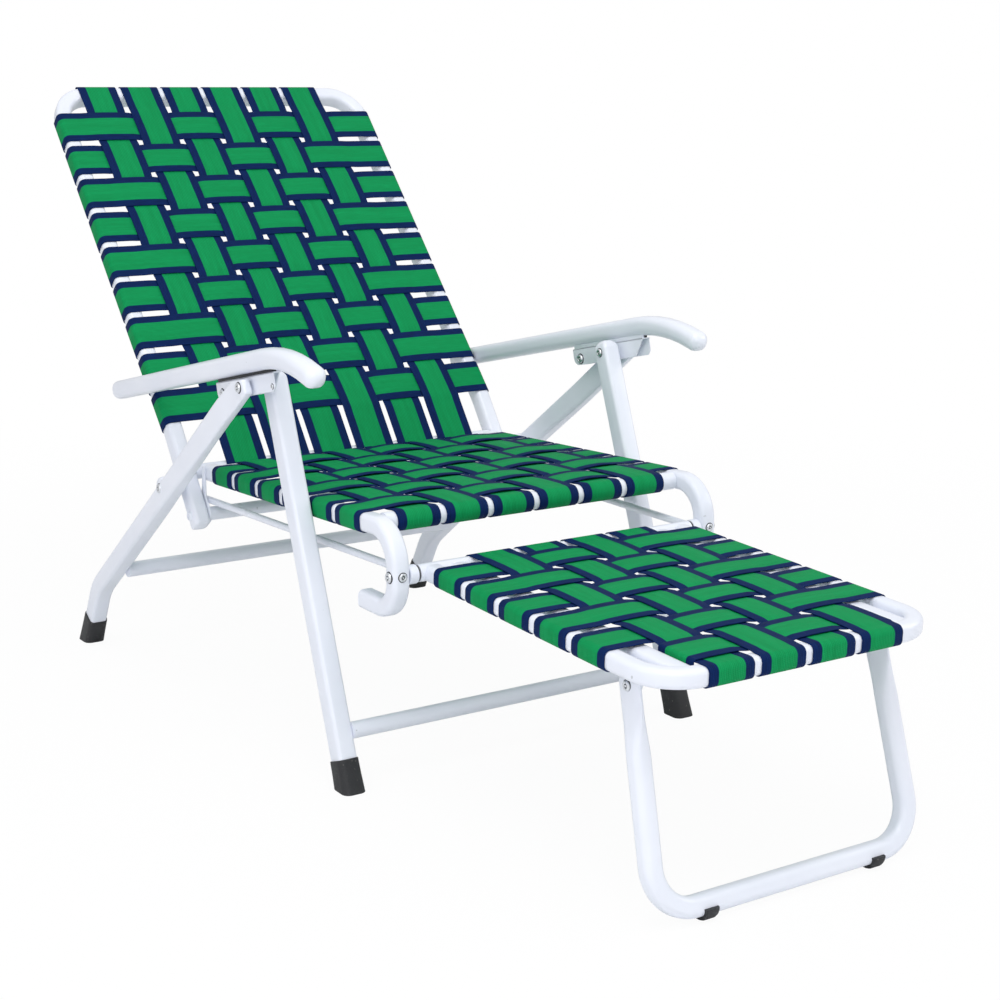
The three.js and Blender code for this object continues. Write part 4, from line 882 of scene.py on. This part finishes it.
def wrapped(low, high, level):
    """Run of a strap: from under one tube, round it, over the weave, round the other and under it.

    An end is (place, half width, half depth, corner radius, distance behind the panel's plane).
    """
    e = STRAP_OFFSET
    low_q, low_a, low_b, low_r, low_drop = low
    high_q, high_a, high_b, high_r, _ = high
    start, stop = low_q - low_a + low_r, high_q + high_a - high_r
    run = [(low_q + STRAP_TUCK * low_a, -low_b - e - low_drop)]
    for height, angle in ((low_r - low_b, -90), (low_b - low_r, -180)):
        run += arc((start, height - low_drop), low_r + e, angle, angle - 90, 8)
    back = low_b - low_drop - high_b if low_drop else 0
    parts = math.ceil((stop - start) / STRAP_STEP)
    for k in range(1, parts):
        q = start + (stop - start) * k / parts
        lean = back * max(0.0, math.hypot(min(q - 2, 0), 3) - 3) / max(1.0, abs(start))
        run.append((q, high_b + e + lean + level(q)))
    for height, angle in ((high_b - high_r, 90), (high_r - high_b, 0)):
        run += arc((stop, height), high_r + e, angle, angle - 90, 8)
    return run + [(high_q - STRAP_TUCK * high_a, -high_b - e)]


def tucked(edge, depth, level):
    """Run of a short strap: from under an inner rail, up its side, over the weave and down at the other rail."""
    e, turn, corner = STRAP_OFFSET, 3.2, 6.0
    reach, height = edge - e - turn, FOOTREST_TUBE / 2 + e
    ends = []
    for sign in (-1, 1):
        end = [(edge + 14, -depth - e)] + arc((edge + corner, corner - depth), corner + e, -90, -180, 6)
        end += arc((reach, height + level(sign * reach) - turn), turn, 0, 90, 6)
        ends.append([(sign * q, h) for q, h in end])
    parts = math.ceil(2 * reach / STRAP_STEP)
    places = [-reach + 2 * reach * k / parts for k in range(1, parts)]
    return ends[0] + [(q, height + level(q)) for q in places] + ends[1][::-1]


def panel(label, origin, way, side, low_bar, high_bar, cross, widths, long_centres, humps, drift, inner_rail=None):
    """Both sets of straps of one woven panel, made in the panel's own plane.

    The long straps drift sideways from one bar to the other, as laid by hand. With inner rails the first
    cross strap is a short one between them.
    """
    length, normal = Vector((0, way[0], way[1])), Vector((0, -way[1], way[0]))
    cross_width, long_width = widths
    cross_centres = [start + cross_width / 2 for start in cross]

    def aside(along):
        return drift[0] + (drift[1] - drift[0]) * along / high_bar[0]

    def laid(along, across, height):
        return side_point(0, origin) + (length * along + ACROSS_CHAIR * across + normal * height) / 1000

    cross_runs, long_runs = [], []
    for k, s in enumerate(cross_centres):
        crossings = [(c + aside(s), long_width / 2, (k + j) % 2 == 0) for j, c in enumerate(long_centres)]
        rise = lambda q: weave_level(q, crossings, humps[0])
        short = inner_rail is not None and k == 0
        run = tucked(*inner_rail, rise) if short else wrapped((-side[0], *side[1:], 0), (*side, 0), rise)
        points = [laid(s, q, h) for q, h in run]
        cross_runs.append((points, [length] * len(points), [1.0] * len(points), float(k)))
    for j, c in enumerate(long_centres):
        crossings = [(s, cross_width / 2, (k + j) % 2 == 1) for k, s in enumerate(cross_centres)]
        run = wrapped(low_bar, high_bar, lambda q: weave_level(q, crossings, humps[1]))
        points = [laid(q, c + aside(q), h) for q, h in run]
        long_runs.append((points, [ACROSS_CHAIR] * len(points), [1.0] * len(points), float(j) + 20.0))
    for kind, runs, width in (("cross", cross_runs, cross_width), ("long", long_runs, long_width)):
        name = f"{label}_{kind}_straps"
        mesh = grown(name, run_mesh(name, runs), SWEPT, {
            "Width": width / 1000, "Depth": STRAP_THICKNESS / 1000, "Corner Radius": STRAP_EDGE / 1000,
            "Corner Steps": 2, "Finish": WEBBING,
        })
        soften(mesh, 60)
        add(name, mesh, label, WEBBING, f"{label}_webbing")


def evenly(count, pitch, start):
    return [start + i * pitch for i in range(count)]


def about_middle(count, pitch):
    return evenly(count, pitch, -(count - 1) * pitch / 2)


fold = Vector((foot_bar[0] - back_bend[0], foot_bar[1] - back_bend[1]))
foot_bar_at = fold.dot(Vector(high_way))
foot_bar_behind = -fold.dot(Vector((-high_way[1], high_way[0])))
hoop_half = (BACK_TUBE[1] / 2, BACK_TUBE[0] / 2, BACK_CORNER)
panel("back", back_bend, high_way, (BACK_X, *hoop_half),
      (foot_bar_at, FOOT_BAR_R, FOOT_BAR_R, FOOT_BAR_R, foot_bar_behind), (BACK_TOP_AT, *hoop_half, 0),
      evenly(BACK_STRAPS[0], BACK_CROSS_PITCH, BACK_CROSS_START), (BACK_CROSS_WIDTH, BACK_LONG_WIDTH),
      about_middle(BACK_STRAPS[1], BACK_LONG_PITCH), BACK_HUMPS, BACK_DRIFT)
seat_way = (math.cos(SEAT_RISE), -math.sin(SEAT_RISE))
seat_span = (SEAT_BARS_Y[1] - SEAT_BARS_Y[0]) / seat_way[0]
bar_half = (SEAT_BAR_R, SEAT_BAR_R, SEAT_BAR_R, 0)
panel("seat", (SEAT_BARS_Y[0], rail_z(SEAT_BARS_Y[0])), seat_way, (SEAT_X, RAIL_TUBE / 2, RAIL_TUBE / 2, RAIL_CORNER),
      (0, *bar_half), (seat_span, *bar_half),
      evenly(SEAT_STRAPS[0], SEAT_CROSS_PITCH, SEAT_CROSS_START / seat_way[0]),
      (SEAT_CROSS_WIDTH, SEAT_LONG_WIDTH), about_middle(SEAT_STRAPS[1], SEAT_LONG_PITCH), SEAT_HUMPS, SEAT_DRIFT)
hoop_half = (FOOTREST_TUBE / 2, FOOTREST_TUBE / 2, FOOTREST_CORNER)
straps_end = foot_run - (HOOK_Y + FOOTREST_STRAPS_END) / foot_way[0]
straps_start = straps_end - FOOTREST_CROSS_WIDTH - (FOOTREST_STRAPS[0] - 1) * FOOTREST_CROSS_PITCH
panel("footrest", FOOTREST_FRONT, foot_way, (FOOTREST_X, *hoop_half),
      (0, *hoop_half, 0), (foot_run, HINGE_BAR_R, HINGE_BAR_R, HINGE_BAR_R, 0),
      evenly(FOOTREST_STRAPS[0], FOOTREST_CROSS_PITCH, straps_start), (FOOTREST_CROSS_WIDTH, FOOTREST_LONG_WIDTH),
      about_middle(FOOTREST_STRAPS[1], FOOTREST_LONG_PITCH), FOOTREST_HUMPS, FOOTREST_DRIFT,
      (INNER_RAIL_X - INNER_RAIL[0] / 2, INNER_RAIL[1] / 2))

# Rivets and bolts

# The head's bands from 0.25 to 0.4 and from 0.95 to 1.2 of its radius get painted shade: a dark hollow round the
# centre and a dark ring round the rim.
rivet_head = new_object("rivet_head", turned_mesh("rivet_head", (
    (0, 0.42), (0.2, 0.4), (0.28, 0.26), (0.38, 0.24), (0.45, 0.4), (0.62, 0.47), (0.8, 0.4), (0.92, 0.22),
    (0.97, 0.05), (1.08, 0.03), (1.12, 0.0), (1.12, -0.2), (0, -0.2),
), STEEL, 24, ((0.25, 0.4), (0.95, 1.2))))
soften(rivet_head.data, 50)


def heads(name, body, items, nodes, radius=5.5, finish=STEEL):
    """Turned heads on one body. An item is (point, way, share of the radius)."""
    points, ways, sizes = zip(*items)
    mesh = bpy.data.meshes.new(name)
    mesh.from_pydata(points, [], [])
    flat_ways = [c for way in ways for c in way]
    mesh.attributes.new("head_way", "FLOAT_VECTOR", "POINT").data.foreach_set("vector", flat_ways)
    mesh.attributes.new("head_size", "FLOAT", "POINT").data.foreach_set("value", sizes)
    made = grown(name, mesh, HEADS, {"Head": rivet_head, "Head Radius": radius / 1000, "Finish": finish})
    soften(made, 50)
    add(name, made, body, finish, *nodes)


def one_side(sign, items):
    """Items from (x, side point, x way, size) places of the right side, on the right or mirrored to the left."""
    return [(side_point(sign * x, p), Vector((sign * way, 0, 0)), size) for x, p, way, size in items]


def both(*items):
    return [item for _, sign in SIDES for item in one_side(sign, items)]


def pair(*names):
    return [f"{n}_{side}" for n in names for side, _ in SIDES]


seat_rivets = both((HINGE_HEAD_X, HINGE, 1, 1.15))
for side, sign in SIDES:
    seat_rivets.append((chair(sign * SEAT_X, HOOK_Y - RAIL_TUBE / 2, HOOK_RIVET_Z), Vector((0, -1, 0)), 0.95))
heads("seat_rivets", "seat", seat_rivets, pair("hinge_bolt", "arm_rivet"))
heads("axle_bolt_heads", "seat", both((AXLE_HEAD_X, AXLE, 1, 1.2)), pair("axle_bolt"), finish=COAT)
front_heads = both((BACK_X - LEG_SIZE[0] / 2, front_at(FRONT_PIN_Z), -1, 1.0))
heads("front_leg_rivets", "front_legs", front_heads, pair("front_top_rivet"))
rear_heads = both((REAR_X + EAR_DISC[0][0], EAR, 1, 1.15), (REAR_FACE_X, REAR_RIVET, 1, 1.15))
heads("rear_leg_rivets", "rear_legs", rear_heads, pair("ear_bolt", "rear_top_rivet"))
stand_pin = step_along(LEG_PIVOT, (0.6, -0.8), STAND_PIN_SHIFT)
stand_heads = both((LEG_TOP_X + LEG_TONGUE / 2, stand_pin, 1, 1.05), (lug_x - LUG_SHEET, stand_pin, -1, 0.9))
heads("stand_rivets", "footrest_leg", stand_heads, pair("leg_rivet"))
inside, outside = BRACKET_X
bracket_heads = [(x, under_arm(*place), way, size) for x, place, way, size in (
    (outside, REAR_BRACKET_RIVET, 1, 1.05), (inside, REAR_BRACKET_RIVET, -1, 1.2),
    (outside, CORNER_RIVET, 1, 0.6), (inside, LEG_BRACKET_RIVET, -1, 1.2))]
for side, sign in SIDES:
    heads(f"bracket_rivets_{side}", f"armrest_{side}", one_side(sign, bracket_heads), [f"bracket_rivet_{side}"])
bpy.data.objects.remove(rivet_head)

# CAD solids that stay in sight
for name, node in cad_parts.items():
    if not node.hide_render:
        node.data.materials.clear()
        node.data.materials.append(STEEL if "pin" in name else COAT)

# Floor, light and camera

FLOOR_Z = -0.0005
floor_mesh = bpy.data.meshes.new("floor")
floor_corners = [(x, y, FLOOR_Z) for x, y in ((-9, -9), (9, -9), (9, 9), (-9, 9))]
floor_mesh.from_pydata(floor_corners, [], [(0, 1, 2, 3)])
floor = new_object("floor", floor_mesh)
floor_finish, tree, shader = new_finish("pale_floor")
shader.inputs["Roughness"].default_value = 0.9
pale = mix_colour(tree, noise(tree, object_point(tree), 3.0, 2.0), colour("F4F4F5"), colour("EFEFF1"))
tree.links.new(pale, shader.inputs["Base Color"])
glow = tree.nodes.new("ShaderNodeEmission").outputs["Emission"]
far = new_node(tree, "ShaderNodeVectorMath", {0: object_point(tree)}, operation="LENGTH").outputs["Value"]
fading = ranged(tree, far, 0.8, 2.4, 0.95, 1.0, True)
seen = tree.nodes.new("ShaderNodeLightPath").outputs["Is Camera Ray"]
share = times(tree, seen, fading)
lit = new_node(tree, "ShaderNodeMixShader", {"Fac": share, 1: shader.outputs["BSDF"], 2: glow}).outputs["Shader"]
tree.links.new(lit, tree.nodes["Material Output"].inputs["Surface"])
floor_mesh.materials.append(floor_finish)

world = bpy.data.worlds.new("studio")
bpy.context.scene.world = world
world.use_nodes = True
sky = world.node_tree
backdrop = sky.nodes["Background"]
backdrop.inputs["Color"].default_value = (1.0, 1.0, 1.0, 1.0)
sky_point = sky.nodes.new("ShaderNodeTexCoord").outputs["Generated"]
sky_height = new_node(sky, "ShaderNodeSeparateXYZ", {"Vector": sky_point}).outputs["Z"]
soft_sky = ranged(sky, sky_height, -0.1, 0.9, 0.51, 0.8)
seen = sky.nodes.new("ShaderNodeLightPath").outputs["Is Camera Ray"]
brightness = math_node(sky, "MAXIMUM", seen, soft_sky)
sky.links.new(brightness, backdrop.inputs["Strength"])


def softbox(name, place, aim, size, power):
    lamp = bpy.data.lights.new(name, "AREA")
    lamp.shape = "DISK"
    lamp.size = size
    lamp.energy = power
    holder = new_object(name, lamp)
    holder.location = place
    holder.rotation_euler = (Vector(aim) - Vector(place)).to_track_quat("-Z", "Y").to_euler()


softbox("top_softbox", (-0.7, -1.2, 2.8), (0, 0, 0.3), 1.8, 28)
softbox("front_softbox", (-1.5, -2.9, 1.5), (0, 0, 0.35), 1.6, 14)
softbox("side_softbox", (-2.6, -0.6, 1.4), (0, 0, 0.35), 1.4, 8)
softbox("far_softbox", (2.4, -1.4, 1.6), (0, 0, 0.35), 1.4, 10)

lens = bpy.data.cameras.new("camera")
lens.lens = 65.79
lens.sensor_width = 36
lens.clip_end = 60
camera = new_object("camera", lens)
camera.location = (-1.1909, -1.9600, 0.7966)
camera.rotation_euler = (math.radians(77.32), 0, math.radians(-33.12))
bpy.context.scene.camera = camera
bpy.context.scene.view_settings.view_transform = "Standard"
